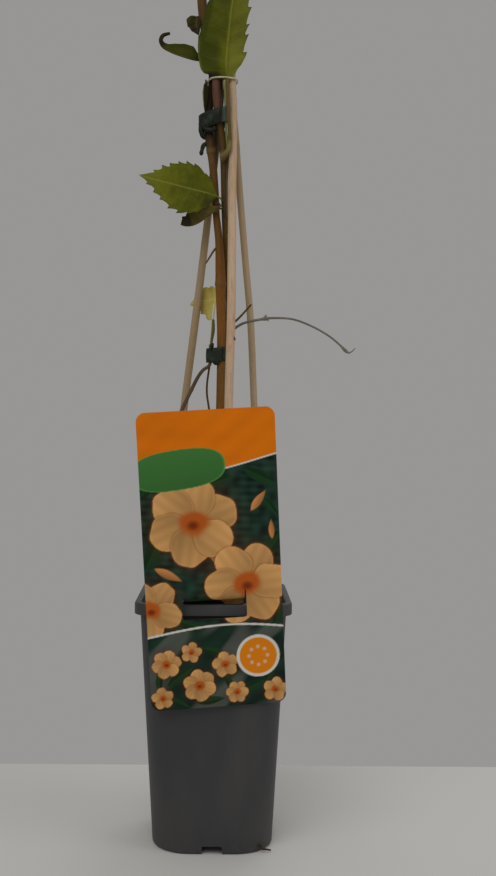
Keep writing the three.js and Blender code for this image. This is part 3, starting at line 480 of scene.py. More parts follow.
class Finish:
    """A material built from noise, marks on the mesh and blends between colours."""

    def __init__(self, name):
        self.material = bpy.data.materials.new(name)
        self.material.use_nodes = True
        self.tree = self.material.node_tree
        self.tree.nodes.clear()
        self.surface = self.tree.nodes.new("ShaderNodeBsdfPrincipled")
        output = self.tree.nodes.new("ShaderNodeOutputMaterial")
        self.tree.links.new(self.surface.outputs[0], output.inputs[0])
        self.place = self.tree.nodes.new("ShaderNodeTexCoord").outputs["Object"]

    def feed(self, socket, value):
        if isinstance(value, bpy.types.NodeSocket):
            self.tree.links.new(value, socket)
        else:
            socket.default_value = value

    def node(self, kind, output, inputs, **choices):
        """The output of a new node, with its inputs fed and its choices made."""
        node = self.tree.nodes.new("ShaderNode" + kind)
        for name, choice in choices.items():
            setattr(node, name, choice)
        for socket, value in inputs.items():
            self.feed(node.inputs[socket], value)
        return node.outputs[output]

    def stretched(self, stretch, shift):
        moved = (shift, shift * 0.7, shift * 0.3)
        return self.node("Mapping", 0, {"Vector": self.place, "Scale": stretch, "Location": moved})

    def cloud(self, span, detail=4.0, stretch=(1, 1, 1), shift=0.0, crisp=0.5):
        """Noise with features about span millimetres across."""
        place = self.stretched(stretch, shift)
        inputs = {"Vector": place, "Scale": 1 / (span * MM), "Detail": detail, "Roughness": crisp}
        return self.node("TexNoise", "Fac", inputs)

    def cells(self, span, shift=0.0):
        """Distance to the edges of small cells about span millimetres across."""
        inputs = {"Vector": self.stretched((1, 1, 1), shift), "Scale": 1 / (span * MM)}
        return self.node("TexVoronoi", "Distance", inputs, feature="DISTANCE_TO_EDGE")

    def mark(self, name, output="Fac"):
        """A mark kept on the mesh, or a colour with "Color" as the output."""
        return self.node("Attribute", output, {}, attribute_name=name)

    def height(self, low, high):
        """0 to 1 from one height to another, in millimetres."""
        return self.spread(self.node("SeparateXYZ", "Z", {0: self.place}), low * MM, high * MM)

    def spread(self, value, low, high, first=0.0, last=1.0):
        """Stretches low to high over first to last, and clips."""
        inputs = {"Value": value, "From Min": low, "From Max": high, "To Min": first, "To Max": last}
        return self.node("MapRange", "Result", inputs)

    def combine(self, operation, first, second):
        return self.node("Math", 0, {0: first, 1: second}, operation=operation)

    def blend(self, share, first, second):
        return self.node("Mix", 2, {0: share, 6: first, 7: second}, data_type="RGBA")

    def layers(self, base, *coats):
        """Colours laid over a base in turn, each where its share says so."""
        for share, colour in coats:
            base = self.blend(share, base, colour)
        return base

    def done(self, colour, rough, relief, specular=0.5):
        """The finished material.

        rough is a value with its lowest and highest roughness. relief is a value with its
        depth in millimetres and its strength.
        """
        self.feed(self.surface.inputs["Base Color"], colour)
        value, low, high = rough
        self.feed(self.surface.inputs["Roughness"], self.spread(value, 0.3, 0.7, low, high))
        value, depth, strength = relief
        bump = self.node("Bump", 0, {"Strength": strength, "Distance": depth * MM, "Height": value})
        self.feed(self.surface.inputs["Normal"], bump)
        self.surface.inputs["Specular IOR Level"].default_value = specular
        return self.material

    def glow_through(self, weight, radius, scale):
        """Light that enters and leaves again a little further on."""
        self.surface.inputs["Subsurface Weight"].default_value = weight
        self.surface.inputs["Subsurface Radius"].default_value = radius
        self.surface.inputs["Subsurface Scale"].default_value = scale * MM


def pot_plastic(sizes):
    finish = Finish("pot_plastic")
    worn = finish.cloud(38, 5, (1, 1, 0.35), 1.3)
    specks = finish.cloud(2.4, 3, (1, 1, 1), 4.1)
    scuffs = finish.cloud(9, 6, (0.5, 0.5, 2.6), 2.2, 0.7)
    low = finish.height(14, 0)
    dusty = finish.combine("MULTIPLY", low, finish.spread(specks, 0.5, 0.75, 0, 0.25))
    base = finish.layers(
        sizes.plastic,
        (finish.spread(worn, 0.42, 0.7), sizes.worn),
        (finish.spread(scuffs, 0.68, 0.82, 0, 0.5), sizes.worn),
        (dusty, tint(110, 100, 86)),
    )
    return finish.done(base, (worn, 0.44, 0.6), (specks, 0.06, 0.5), 0.4)


def potting_soil(sizes):
    finish = Finish("potting_soil")
    lumps = finish.cloud(6, 8, (1, 1, 1), 0.4, 0.7)
    threads = finish.cloud(2.2, 4, (1, 0.3, 1), 3.0, 0.6)
    share = finish.combine("ADD", finish.spread(threads, 0.56, 0.72, 0, 0.7), finish.mark("chip"))
    base = finish.blend(finish.spread(lumps, 0.3, 0.75), sizes.peat, tint(74, 56, 40))
    base = finish.blend(finish.spread(share, 0, 1), base, sizes.fibre)
    return finish.done(base, (lumps, 0.86, 1.0), (lumps, 0.8, 0.9), 0.2)


def cane_straw(sizes):
    finish = Finish("cane_straw")
    streaks = finish.cloud(5, 5, (6, 6, 0.12), 0.9, 0.6)
    patches = finish.cloud(26, 3, (1, 1, 0.35), 5.1)
    grain = finish.cloud(1.6, 3, (5, 5, 0.15), 2.0)
    base = finish.layers(
        sizes.straw,
        (finish.spread(patches, 0.35, 0.7), sizes.warm),
        (finish.spread(streaks, 0.5, 0.78, 0, 0.75), sizes.stain),
        (finish.mark("aged"), sizes.aged),
        # Painted shade where the cane runs behind the stems.
        (finish.mark("grime"), tint(38, 28, 14)),
        (finish.mark("knot"), tint(70, 44, 34)),
    )
    return finish.done(base, (streaks, 0.45, 0.65), (grain, 0.12, 0.6), 0.3)


def ring_cream(sizes):
    finish = Finish("ring_cream")
    cloud = finish.cloud(7, 3, (1, 1, 1), 2.0)
    base = finish.blend(finish.spread(cloud, 0.3, 0.75), sizes.ring_cream, tint(176, 160, 124))
    return finish.done(base, (cloud, 0.34, 0.5), (cloud, 0.05, 0.4))


def tie_ribbon(sizes):
    finish = Finish("tie_ribbon")
    cloud = finish.cloud(8, 4, (1, 1, 1), 1.2)
    fine = finish.cloud(1.3, 3, (0.3, 0.3, 3), 6.0)
    # The cloud and the sheen mark lay a painted sheen.
    share = finish.combine("ADD", finish.spread(cloud, 0.5, 0.8, 0, 0.5), finish.mark("sheen"))
    base = finish.blend(finish.spread(share, 0, 1), sizes.ribbon_green, sizes.ribbon_sheen)
    return finish.done(base, (cloud, 0.4, 0.55), (fine, 0.08, 0.5), 0.15)


def card_print():
    finish = Finish("card_print")
    cloud = finish.cloud(60, 2, (1, 1, 1), 1.0)
    grain = finish.cloud(0.9, 2, (1, 1, 1), 3.0)
    ink = finish.mark("ink", "Color")
    base = finish.blend(finish.spread(cloud, 0.35, 0.75, 0, 0.08), ink, tint(24, 22, 20))
    return finish.done(base, (cloud, 0.36, 0.48), (grain, 0.012, 0.3), 0.12)


def card_white(sizes):
    finish = Finish("card_white")
    cloud = finish.cloud(30, 3, (1, 1, 1), 1.0)
    base = finish.blend(finish.spread(cloud, 0.3, 0.8), sizes.back, tint(204, 200, 190))
    base = finish.blend(finish.mark("rim"), base, tint(64, 66, 58))
    return finish.done(base, (cloud, 0.3, 0.42), (cloud, 0.03, 0.3))


def vine_bark(sizes):
    finish = Finish("vine_bark")
    fibres = finish.cloud(3.4, 6, (4, 4, 0.22), 0.7, 0.65)
    patches = finish.cloud(17, 4, (1, 1, 0.4), 3.3)
    shaded = finish.combine("MULTIPLY", finish.height(544, 562), finish.height(622, 606))
    base = finish.layers(
        sizes.bark_low,
        (finish.height(430, 520), sizes.bark_high),
        (finish.spread(patches, 0.42, 0.72, 0, 0.7), tint(108, 82, 42)),
        (finish.spread(fibres, 0.5, 0.74, 0, 0.8), sizes.bark_dark),
        (finish.combine("MULTIPLY", shaded, 0.9), tint(32, 21, 12)),
        (finish.mark("bud"), tint(42, 42, 34)),
        (finish.mark("scar"), tint(112, 86, 50)),
    )
    return finish.done(base, (fibres, 0.55, 0.78), (fibres, 0.35, 0.8), 0.15)


def olive_bark(sizes):
    finish = Finish("olive_bark")
    fibres = finish.cloud(2.8, 5, (4, 4, 0.2), 1.7, 0.6)
    patches = finish.cloud(14, 4, (1, 1, 0.4), 6.3)
    base = finish.layers(
        sizes.olive,
        (finish.spread(patches, 0.4, 0.7), tint(92, 76, 38)),
        (finish.height(566, 582), tint(102, 68, 52)),
        (finish.spread(fibres, 0.52, 0.76, 0, 0.75), tint(46, 34, 20)),
        (finish.mark("living"), tint(104, 98, 40)),
        (finish.mark("scar"), tint(150, 134, 84)),
    )
    return finish.done(base, (fibres, 0.5, 0.7), (fibres, 0.25, 0.8), 0.15)


def dry_twig(name, main):
    finish = Finish(name)
    fibres = finish.cloud(1.8, 5, (3, 3, 0.5), 0.2, 0.65)
    patches = finish.cloud(13, 3, (1, 1, 1), 3.9)
    darker = tuple(value * 0.6 for value in main[:3]) + (1.0,)
    base = finish.blend(finish.spread(patches, 0.35, 0.7), main, darker)
    base = finish.blend(finish.spread(fibres, 0.5, 0.75, 0, 0.7), base, tint(54, 44, 38))
    return finish.done(base, (fibres, 0.6, 0.8), (fibres, 0.15, 0.8), 0.25)


def green_stalk(sizes):
    finish = Finish("green_stalk")
    streaks = finish.cloud(3, 4, (3, 3, 0.3), 0.8)
    base = finish.layers(
        sizes.stalk,
        (finish.spread(streaks, 0.35, 0.75), tint(98, 100, 50)),
        (finish.height(552, 542), tint(78, 62, 30)),
        (finish.mark("joint"), tint(152, 140, 100)),
    )
    return finish.done(base, (streaks, 0.42, 0.58), (streaks, 0.1, 0.5))


def leaf_finish(name, main, deep, light, dry, shift):
    """Leaf colour: patches, veins, a paler lower side, withered margins, painted shade and painted light."""
    finish = Finish(name)
    patches = finish.cloud(24, 4, (1, 1, 1), shift)
    mottle = finish.cloud(3.2, 5, (1, 1, 1), shift + 2.0, 0.6)
    net = finish.cells(1.5, shift)
    base = finish.layers(
        main,
        (finish.spread(patches, 0.38, 0.68), deep),
        (finish.spread(mottle, 0.5, 0.78, 0, 0.45), deep),
        (finish.spread(net, 0.0, 0.12, 0.14, 0), light),
        (finish.combine("MULTIPLY", finish.mark("under"), 0.35), light),
        # The shade mark lays painted shade, the bright mark painted light and paler parts, and the dry colour
        # withered parts and, at the foot of some leaflets, painted shade.
        (finish.mark("shade"), deep),
        (finish.mark("bright"), light),
        (finish.mark("vein"), light),
        (finish.mark("dry"), dry),
    )
    finish.glow_through(0.12, (1.0, 1.2, 0.3), 1.2)
    return finish.done(base, (mottle, 0.48, 0.64), (net, 0.1, 0.35), 0.06)


# ------------------ pot and soil

COLLAR_CORNER = 14.5
RIM_ROUND = 1.5
WALL_TOP_CORNER = 12.5
WALL_FOOT_CORNER = 30
FOOT_FILLET = 2.5
FOOT_RING = 1.8
FLOOR_UNDERSIDE = 6.8
FLOOR_ROUND = 2
FOOT_NOTCH = {"width": 15.5, "height": 6.4, "reach": 14}
FOOT_PAD_RADIUS = 12
NOTCH_SOFT = 1.2  # radius of a notch's upper corners
EDGE_SOFT = 0.4  # bevel of the pot's plain edges
HEM_SOFT = 0.3  # bevel inside the collar's lower edge
COLLAR_PLAIN = 4  # how far under the rim the collar's flat face ends
TURN_START = 0.6  # how far under the rim's underside the wall turns out into the collar
TURN_END = 0.2  # how far under it that turn ends
INSIDE_LEVELS = (140, 90, 40)  # heights of the rings down the inside of the wall
DRAIN_RADIUS = 4
DRAIN_OFFSET = 24
SOIL_GAP = 0.4  # between the soil and the wall
SOIL_LIFT = 0.3  # between the soil and the pot's floor
SOIL_BEVEL = 2.2  # of the soil's lower edge
SOIL_SHOULDER = 4  # how far under its level the soil's side ends
CRUMB_MARGIN = 6  # from the crumbs to the wall
# A root on the floor beside the pot's foot.
ROOT_THREAD = [
    [22, -24, 7.2, 0.7], [26, -28, 2.4, 0.7], [30, -32, 1.4, 0.6], [34, -38, 3, 0.6],
    [37.6, -41.8, 5.2, 1.1], [38.4, -42.6, 3.4, 1], [42, -43, 2.9, 0.6], [45.4, -43.2, 2.5, 0.6],
]


def rounded_square(half, corner, z, arc=14, side=6):
    """A ring round a square with rounded corners, centred on the Z axis."""
    corner = max(corner, 0.2)
    flat = half - corner
    ring = []
    for quarter in range(4):
        turn = quarter * math.pi / 2
        out = np.array([math.cos(turn), math.sin(turn), 0])
        along = np.array([-math.sin(turn), math.cos(turn), 0])
        for k in range(side):
            ring.append(out * half + along * (-flat + 2 * flat * k / side))
        for k in range(arc):
            angle = math.pi / 2 * k / arc
            ring.append(out * (flat + corner * math.cos(angle)) + along * (flat + corner * math.sin(angle)))
    ring = np.array(ring)
    ring[:, 2] = z
    return ring


def wall_ring(sizes, z, inset, **counts):
    """The ring of the tapered wall at a height, set in from its outside."""
    share = z / (sizes.height / MM - sizes.collar_height / MM)
    half = sizes.wall_foot_half / MM + (sizes.wall_top_half - sizes.wall_foot_half) / MM * share
    corner = WALL_FOOT_CORNER + (WALL_TOP_CORNER - WALL_FOOT_CORNER) * share
    return rounded_square(half - inset, corner - inset, z, **counts)


def cut_away(thing, tools):
    """Cuts closed tool meshes out of a mesh object, and removes the tools."""
    for tool in tools:
        cutter = thing.modifiers.new("cut", "BOOLEAN")
        cutter.operation = "DIFFERENCE"
        cutter.solver = "EXACT"
        cutter.object = tool
    bpy.context.view_layer.update()
    evaluated = thing.evaluated_get(bpy.context.evaluated_depsgraph_get())
    finished = bpy.data.meshes.new_from_object(evaluated)
    thing.modifiers.clear()
    thing.data = finished
    for tool in tools:
        bpy.data.objects.remove(tool)
    if not len(thing.data.polygons):
        raise RuntimeError(f"nothing was left of {thing.name} after its cuts")


def loose_thing(name, points, faces):
    """A plain mesh object, with its points in millimetres."""
    mesh = bpy.data.meshes.new(name)
    mesh.from_pydata((np.asarray(points) * MM).tolist(), [], faces)
    return placed(name, mesh)


def turned(points, quarter):
    """Points turned about the Z axis by quarters of a turn."""
    return np.asarray(points) @ spin(2, quarter * math.pi / 2).T


def drum(radius, low, high, x=0.0, y=0.0, sides=32):
    """An upright cylinder."""
    angle = circle(sides)
    ring = np.stack([x + radius * np.cos(angle), y + radius * np.sin(angle), np.zeros(sides)], -1)
    return stacked([ring + [0, 0, low], ring + [0, 0, high]])


def arch(width, height, depth, below):
    """A notch tool with softly rounded upper corners, that starts under the pot."""
    half = width / 2
    outline = [(-half, -below), (half, -below)]
    for centre, start in ((half - NOTCH_SOFT, 0), (NOTCH_SOFT - half, 1)):
        for k in range(5):
            angle = math.pi / 2 * (start + k / 4)
            x = centre + NOTCH_SOFT * math.cos(angle)
            outline.append((x, height - NOTCH_SOFT + NOTCH_SOFT * math.sin(angle)))
    near = np.array([[x, 0, z] for x, z in outline])
    return stacked([near, near + [0, depth, 0]])


def quarter_turn(shares):
    """One minus the cosine and one minus the sine, at these shares of a quarter turn."""
    for share in shares:
        angle = share * math.pi / 2
        yield 1 - math.cos(angle), 1 - math.sin(angle)


def pot_rings(sizes):
    """Rings up the outside of the pot, over the rim and down the inside."""
    height, wall, rim_width = in_mm(sizes, "height", "wall", "rim_width")
    wall_top = height - sizes.collar_height / MM
    floor_top = FLOOR_UNDERSIDE + wall
    recess = FOOT_FILLET + FOOT_RING

    def collar(inset, z):
        return rounded_square(sizes.collar_half / MM - inset, COLLAR_CORNER - inset, z)

    rings = [
        wall_ring(sizes, FLOOR_UNDERSIDE, recess),
        wall_ring(sizes, EDGE_SOFT, recess),
        wall_ring(sizes, 0, recess - EDGE_SOFT),
        wall_ring(sizes, 0, FOOT_FILLET),
    ]
    for rise, inset in quarter_turn((0.2, 0.4, 0.6, 0.8, 1)):
        rings.append(wall_ring(sizes, FOOT_FILLET * rise, FOOT_FILLET * inset))
    rim_under = height - wall
    for share in (0.08, 0.2, 0.35, 0.5, 0.65, 0.8, 0.92, 1):
        rings.append(wall_ring(sizes, FOOT_FILLET + (rim_under - TURN_START - FOOT_FILLET) * share, 0))
    rings += [
        collar(wall, rim_under - TURN_END),
        collar(wall, wall_top + HEM_SOFT),
        collar(wall - HEM_SOFT, wall_top),
        collar(EDGE_SOFT, wall_top),
        collar(0, wall_top + EDGE_SOFT),
        collar(0, height - COLLAR_PLAIN),
    ]
    for inset, drop in quarter_turn((0, 0.25, 0.5, 0.75, 1)):
        rings.append(collar(RIM_ROUND * inset, height - RIM_ROUND * drop))
    inner = RIM_ROUND / 2
    for drop, back in quarter_turn((0, 0.5, 1)):
        rings.append(collar(rim_width - inner * back, height - inner * drop))
    for z in (wall_top, *INSIDE_LEVELS, floor_top + FLOOR_ROUND):
        rings.append(wall_ring(sizes, z, wall))
    rings.append(wall_ring(sizes, floor_top + FLOOR_ROUND * 0.3, wall + FLOOR_ROUND * 0.3))
    rings.append(wall_ring(sizes, floor_top, wall + FLOOR_ROUND))
    return rings


def make_pot(sizes):
    wall = sizes.wall / MM
    floor_top = FLOOR_UNDERSIDE + wall
    pot = loose_thing("pot_body", *stacked(pot_rings(sizes)))
    tools = []
    below = 1
    foot_half = sizes.wall_foot_half / MM
    for quarter in range(4):
        notch, notch_faces = arch(FOOT_NOTCH["width"], FOOT_NOTCH["height"], FOOT_NOTCH["reach"], below)
        notch = turned(notch + [0, -foot_half - below, 0], quarter)
        tools.append(loose_thing("notch", notch, notch_faces))
    for x in (-DRAIN_OFFSET, DRAIN_OFFSET):
        for y in (-DRAIN_OFFSET, DRAIN_OFFSET):
            tools.append(loose_thing("drain", *drum(DRAIN_RADIUS, FLOOR_UNDERSIDE - 2, floor_top + 2, x, y)))
    cut_away(pot, tools)
    add_to(pot, *drum(FOOT_PAD_RADIUS, 0, FLOOR_UNDERSIDE + wall / 2))
    return settle(pot, pot_plastic(sizes), "pot", "pot", sharp=38)


def add_to(thing, points, faces):
    """Adds loose points and faces to an object's mesh."""
    mesh = thing.data
    old = [list(vertex.co) for vertex in mesh.vertices]
    old_faces = [list(face.vertices) for face in mesh.polygons]
    start = len(old)
    fresh = bpy.data.meshes.new(thing.name)
    points = (np.asarray(points) * MM).tolist()
    fresh.from_pydata(old + points, [], old_faces + [[corner + start for corner in face] for face in faces])
    fresh.shade_smooth()
    thing.data = fresh


def soil_relief(sizes, x, y):
    """How far the soil's lumps stand above its level."""
    coarse = np.sin(x * 0.23 + 1.1) * np.cos(y * 0.19 - 0.6)
    fine = np.sin(x * 0.71 + y * 0.38) * np.cos(y * 0.64 - x * 0.29 + 2.2)
    return sizes.relief / MM * (0.7 * coarse + 0.6 * fine)


def crumb(chance, centre, size, flat):
    """A small lumpy crumb: a seven-sided lump pushed about."""
    rings = []
    for level, reach in ((-0.8, 0.5), (-0.25, 1.0), (0.35, 0.9), (0.85, 0.4)):
        angle = circle(7) + level
        ring = np.stack([np.cos(angle) * reach, np.sin(angle) * reach, np.full(7, level)], -1)
        rings.append(ring * chance.uniform(0.75, 1.2, size=(7, 3)))
    points, faces = stacked(rings)
    turn = chance.uniform(0, 2 * math.pi)
    tip = chance.uniform(-0.6, 0.6)
    points = points * [1, chance.uniform(0.35, 0.9), flat]
    return points @ spin(0, tip).T @ spin(2, turn).T * size + centre, faces


def make_soil(pot_sizes, sizes):
    level = sizes.level / MM
    wall = pot_sizes.wall / MM
    inset = wall + SOIL_GAP
    base = FLOOR_UNDERSIDE + wall + SOIL_LIFT
    counts = {"arc": 10, "side": 10}
    rings = [wall_ring(pot_sizes, base, inset + SOIL_BEVEL, **counts)]
    for z in (base + SOIL_BEVEL, level * 0.5, level - SOIL_SHOULDER):
        rings.append(wall_ring(pot_sizes, z, inset, **counts))
    edge = wall_ring(pot_sizes, level, 0, **counts)
    for share in np.concatenate([[0.95, 0.93], np.linspace(0.9, 0.04, 30)]):
        ring = edge * [share, share, 1]
        ring[:, 2] = level + soil_relief(sizes, ring[:, 0], ring[:, 1]) + 0.35 * ripple(ring, 4, 11)
        rings.append(ring)
    shell = Shell()
    shell.add(*stacked(rings), chip=0.0)
    chance = np.random.default_rng(5)
    reach = pot_sizes.wall_top_half / MM - CRUMB_MARGIN
    for _ in range(sizes.crumbs):
        x, y = chance.uniform(-reach, reach, size=2)
        z = level + float(soil_relief(sizes, np.array(x), np.array(y)))
        size = chance.uniform(0.6, 1.5) if chance.uniform() < 0.8 else chance.uniform(1.6, 3.2)
        points, faces = crumb(chance, [x, y, z + 0.2 * size], size, chance.uniform(0.3, 0.8))
        shell.add(points, faces, chip=chance.choice([0.0, 0.1, 0.3, 0.9]))
    rod(shell, ROOT_THREAD, 8, 1.5, furrows(0.08, 3, 4), chip=0.0)
    return shell.piece("soil_bed", potting_soil(sizes), "soil", "soil", sharp=50)


# ------------------ canes, stems and stalks

CANE_FOOT = 60
STEM_FOOT = 146

CANES = {
    "cane_left": [
        [-42.3, 29.5, CANE_FOOT, 3.1], [-43.3, 32.5, 176.2, 3.1], [-37.6, 29.6, 241.2, 3.1],
        [-32.1, 26.5, 291.2, 3.1], [-26.1, 23.5, 342.2, 3.1], [-17.6, 17.5, 409.2, 3.1],
        [-11.3, 13, 461.2, 3], [-7.6, 11, 493.2, 3], [-1.2, 9.3, 551.2, 3], [3.4, 7.2, 607.2, 3],
        [4.2, 6.9, 621.2, 3], [4.4, 6.8, 635.2, 2.9],
    ],
    "cane_right": [
        [40.7, 29.5, CANE_FOOT, 2.8], [41.5, 32.5, 176.2, 2.8], [32, 23.5, 345.2, 2.8],
        [28.3, 18, 414.2, 2.8], [23.9, 14, 461.2, 2.75], [20.4, 11, 499.2, 2.75], [17.5, 8.6, 531.2, 2.75],
        [15.5, 7, 556.2, 2.75], [11, 5.2, 607.2, 2.7], [11.1, 4.9, 619.2, 2.7], [11.2, 4.8, 631.2, 2.6],
    ],
    "cane_front": [
        [9.4, -40, CANE_FOOT, 3.4], [9.6, -35.5, 176.2, 3.4], [10.7, -24, 344.2, 3.4],
        [12.1, -18.6, 410.2, 3.4], [12.4, -12.8, 483.2, 3.3], [12.5, -9.8, 520.2, 3.3],
        [13, -6.9, 561.2, 3.2], [12.8, -4.9, 583.2, 3.2], [11.4, -3.2, 607.2, 3.2], [11.1, -3, 623.2, 3.1],
        [11.1, -3, 639.2, 3.1],
    ],
}

STEM_MAIN = [
    [2.2, -2, STEM_FOOT, 3.7], [2.5, -2.8, 186.2, 3.6], [3.4, -4.2, 251.2, 3.5], [4.2, -5, 339.2, 3.5],
    [4.4, -5, 384.2, 3.3], [4.4, -5, 404.2, 3.5], [3.8, -5, 428, 3.8], [3.6, -5, 441, 4.3],
    [3.3, -5, 452.2, 3.9], [2.1, -5, 476.2, 3.1], [-0.2, -5, 496.2, 2.8], [-1.4, -4.4, 516.2, 3],
    [-3.6, -3, 539.2, 3.3], [-5.7, -1.8, 555.2, 3.7], [-7, -0.6, 569.2, 3.6], [-7.1, 0.4, 579.2, 3.4],
    [-5.8, 1, 593.2, 2.9], [-4.4, 1.4, 607.2, 2.8], [-5.4, 1.7, 621.2, 3], [-8.2, 1.8, 637.2, 3.4],
    [-11.3, 1.5, 653.2, 3.7], [-13.2, 1, 673.2, 3.7], [-13.6, 0.5, 695.2, 3.5],
]

STEM_MAIN_TWIGS = [
    [[1.7, -5, 471.2, 1.2], [-1.2, -5.2, 468.8, 0.8], [-5.1, -5.7, 462.7, 0.7], [-8.4, -6, 457.2, 0.5]],
    [
        [-6.6, -2.8, 553.4, 1.2], [-9.8, -3.8, 553.4, 1.7], [-11.2, -4.2, 551.4, 1.9],
        [-12, -4.3, 548.6, 1.5], [-12.5, -4.4, 546.2, 1.9], [-12.9, -4.5, 544.4, 1.1],
    ],
    [[-13.4, 1, 681.2, 1.8], [-16.4, -0.6, 685.7, 1.5], [-18, -1.4, 689.2, 0.8]],
]

STEM_SECOND = [
    [12.2, 4, STEM_FOOT, 2.5], [10.8, 4, 251, 2.3], [10.3, 3.4, 341, 2.3], [10.1, 2.8, 405, 2.3],
    [9.9, 2.8, 430, 2.2], [8.9, 2.7, 446, 2.2], [8.2, 2.3, 463, 2.2], [6.8, 1, 491.2, 2.5],
    [6.1, 0, 521.2, 2.8], [5.9, -1.1, 541.2, 3.3], [4, -2, 557.2, 3.4], [2, -3, 569.2, 3.3],
    [0, -4, 585.2, 3.3], [-1, -5.4, 605.2, 3.2], [-0.4, -4.2, 615.2, 2.9], [0.8, -1.8, 625.2, 2.4],
    [1.6, -0.4, 633.2, 1.6],
]

STEM_SECOND_TWIGS = [
    [[10.2, 2.4, 407.9, 1.3], [14.4, -0.8, 410.6, 0.9], [18.2, -2.2, 413.8, 0.8], [28.5, -2, 425.2, 0.7]],
    [
        [4.9, -2, 540, 1.6], [5, -7, 541.5, 1.7], [6.6, -10.8, 543.6, 1.9], [8.9, -12.7, 546.4, 1.9],
        [10.1, -13, 553, 1.6], [10, -12.8, 561, 1.5], [9.1, -12.4, 574, 1.4], [8.5, -12, 588, 1.4],
        [8, -11.8, 602.4, 1.5],
    ],
]

SHOOT_LEFT = [
    [-33.8, 4, STEM_FOOT, 2.1], [-35.3, 1, 201.2, 2], [-37.8, -4.5, 251.2, 1.9], [-37.4, -7.8, 296.2, 1.8],
    [-32.6, -8.8, 325.2, 1.6], [-25.9, -8, 341.2, 1.45], [-17.3, -6.6, 359.8, 1.4],
    [-12.8, -6, 368.2, 1.35], [-9.4, -5.7, 372.4, 1.3], [-6.5, -5.3, 374.3, 1.3], [-4.6, -4.9, 376.4, 1.3],
    [-4.2, -5.1, 380.5, 1.3], [-4.1, -4.9, 386, 1.3], [-4.3, -4.5, 392.7, 1.2],
]

SHOOT_THIN = [
    [-5.8, 3, STEM_FOOT, 1], [-5.2, 2.4, 201.2, 0.9], [-2.4, 0.4, 261.2, 0.8], [-2, -0.6, 311.2, 0.8],
    [-5.1, -1, 341.2, 0.8], [-6.7, -1, 352.2, 0.8], [-6.8, -1, 360.2, 0.8], [-4.5, -1.3, 379.2, 0.8],
    [-3.8, -1.5, 392.2, 1], [-2.2, -0.8, 404.2, 1.5], [-2.1, 0.2, 413.2, 1.2],
]

STALK_LONG = [
    [8.1, -2.5, 494.9, 1], [8, -3.5, 500.2, 0.9], [8, -4.2, 524.2, 0.9], [8.7, -5, 545.2, 0.9],
    [7.4, -6.1, 562.2, 0.9], [6.6, -6.8, 579.2, 0.9], [6.3, -7.6, 594, 0.9], [6.1, -7.8, 598, 1.6],
    [5.9, -8, 602, 1.7], [5.8, -8.1, 605.2, 1.2], [5.9, -8.6, 610.2, 1.1],
]

STALK_BARE = [
    [12, 0.2, 403.6, 1.2], [17, -2.9, 407, 1.1], [22.2, -3.9, 409.8, 1], [29.5, -4, 411.7, 1],
    [36, -3.8, 413, 1], [39.7, -3.7, 413.6, 1.6], [44, -3.5, 414.1, 0.9], [61.1, -3, 413.5, 0.8],
    [75.7, -3, 408.5, 0.8], [90.5, -3, 400.5, 0.8], [100.2, -3.4, 392.6, 0.8], [104.2, -3.7, 388.5, 1.5],
    [107, -4, 386.7, 0.8], [109.8, -4, 388, 0.5], [112, -4, 390.4, 0.4],
]

# Heights of the rings where leaves grew.
MAIN_JOINTS = (214, 286, 441, 548, 642)
SECOND_JOINTS = (236, 322, 408, 544.5)
SHOOT_JOINTS = (262, 318, 356)
# Three stubs round the knot of the bare stalk, from its middle to each tip.
KNOT_MIDDLE = (40, -3.7, 413.8)
KNOT_TIPS = ((40.5, -4.7, 416.8), (39.2, -2.5, 416.4), (42.4, -3.9, 411.6))
# How grey each cane is low down and near its top, and how dark the painted shade on it is between the stems.
CANE_AGE = {"cane_left": (0.75, 0.9), "cane_right": (0.55, 0.9), "cane_front": (0.0, 0.35)}
CANE_SHADE = {"cane_left": 0.85}
CANE_KNOT = {"cane": "cane_right", "height": 553.5}
# A broken stub on the front cane.
CANE_STUB = [[14.2, -21.2, 397.4, 0.9], [15.5, -22, 394.8, 0.7]]


def scars(route_points, levels, width=1.3):
    """Marks the rings on a stem, by the share of its length."""
    route = Route(np.asarray(route_points, float)[:, :3])

    def value(share):
        heights = route.at(share)[:, 2]
        return 0.8 * np.max([np.exp(-(((heights - level) / width) ** 2)) for level in levels], axis=0)

    return value


def aged_towards_top(low, high):
    """How grey a cane is, by the share of its length: all of them are greyer near the top."""
    return lambda share: low + (high - low) * smooth((share - 0.72) / 0.2)


def shaded_between_stems(depth):
    """How dark the painted shade on a cane is between the stems, by the share of its length."""
    return lambda share: depth * smooth((share - 0.79) / 0.04) * smooth((0.975 - share) / 0.02)


def make_canes(sizes):
    material = cane_straw(sizes)
    grain = sizes.grain / MM
    for order, (name, route) in enumerate(CANES.items()):
        shell = Shell()
        levels = [CANE_KNOT["height"]] if CANE_KNOT["cane"] == name else []
        swell = rings_at(levels, 0.22, 1.6)
        knot = scars(route, levels, 1.4) if levels else 0.0
        rod(
            shell, route, 28, 4, furrows(grain, 20 + order, 12), swell, sizes.thickness,
            knot=knot, aged=aged_towards_top(*CANE_AGE[name]), grime=shaded_between_stems(CANE_SHADE.get(name, 0)),
        )
        if name == "cane_front":
            rod(shell, CANE_STUB, 8, 0.5, knot=0.9)
        shell.piece(f"{name}_rod", material, "cane", name, sharp=50)


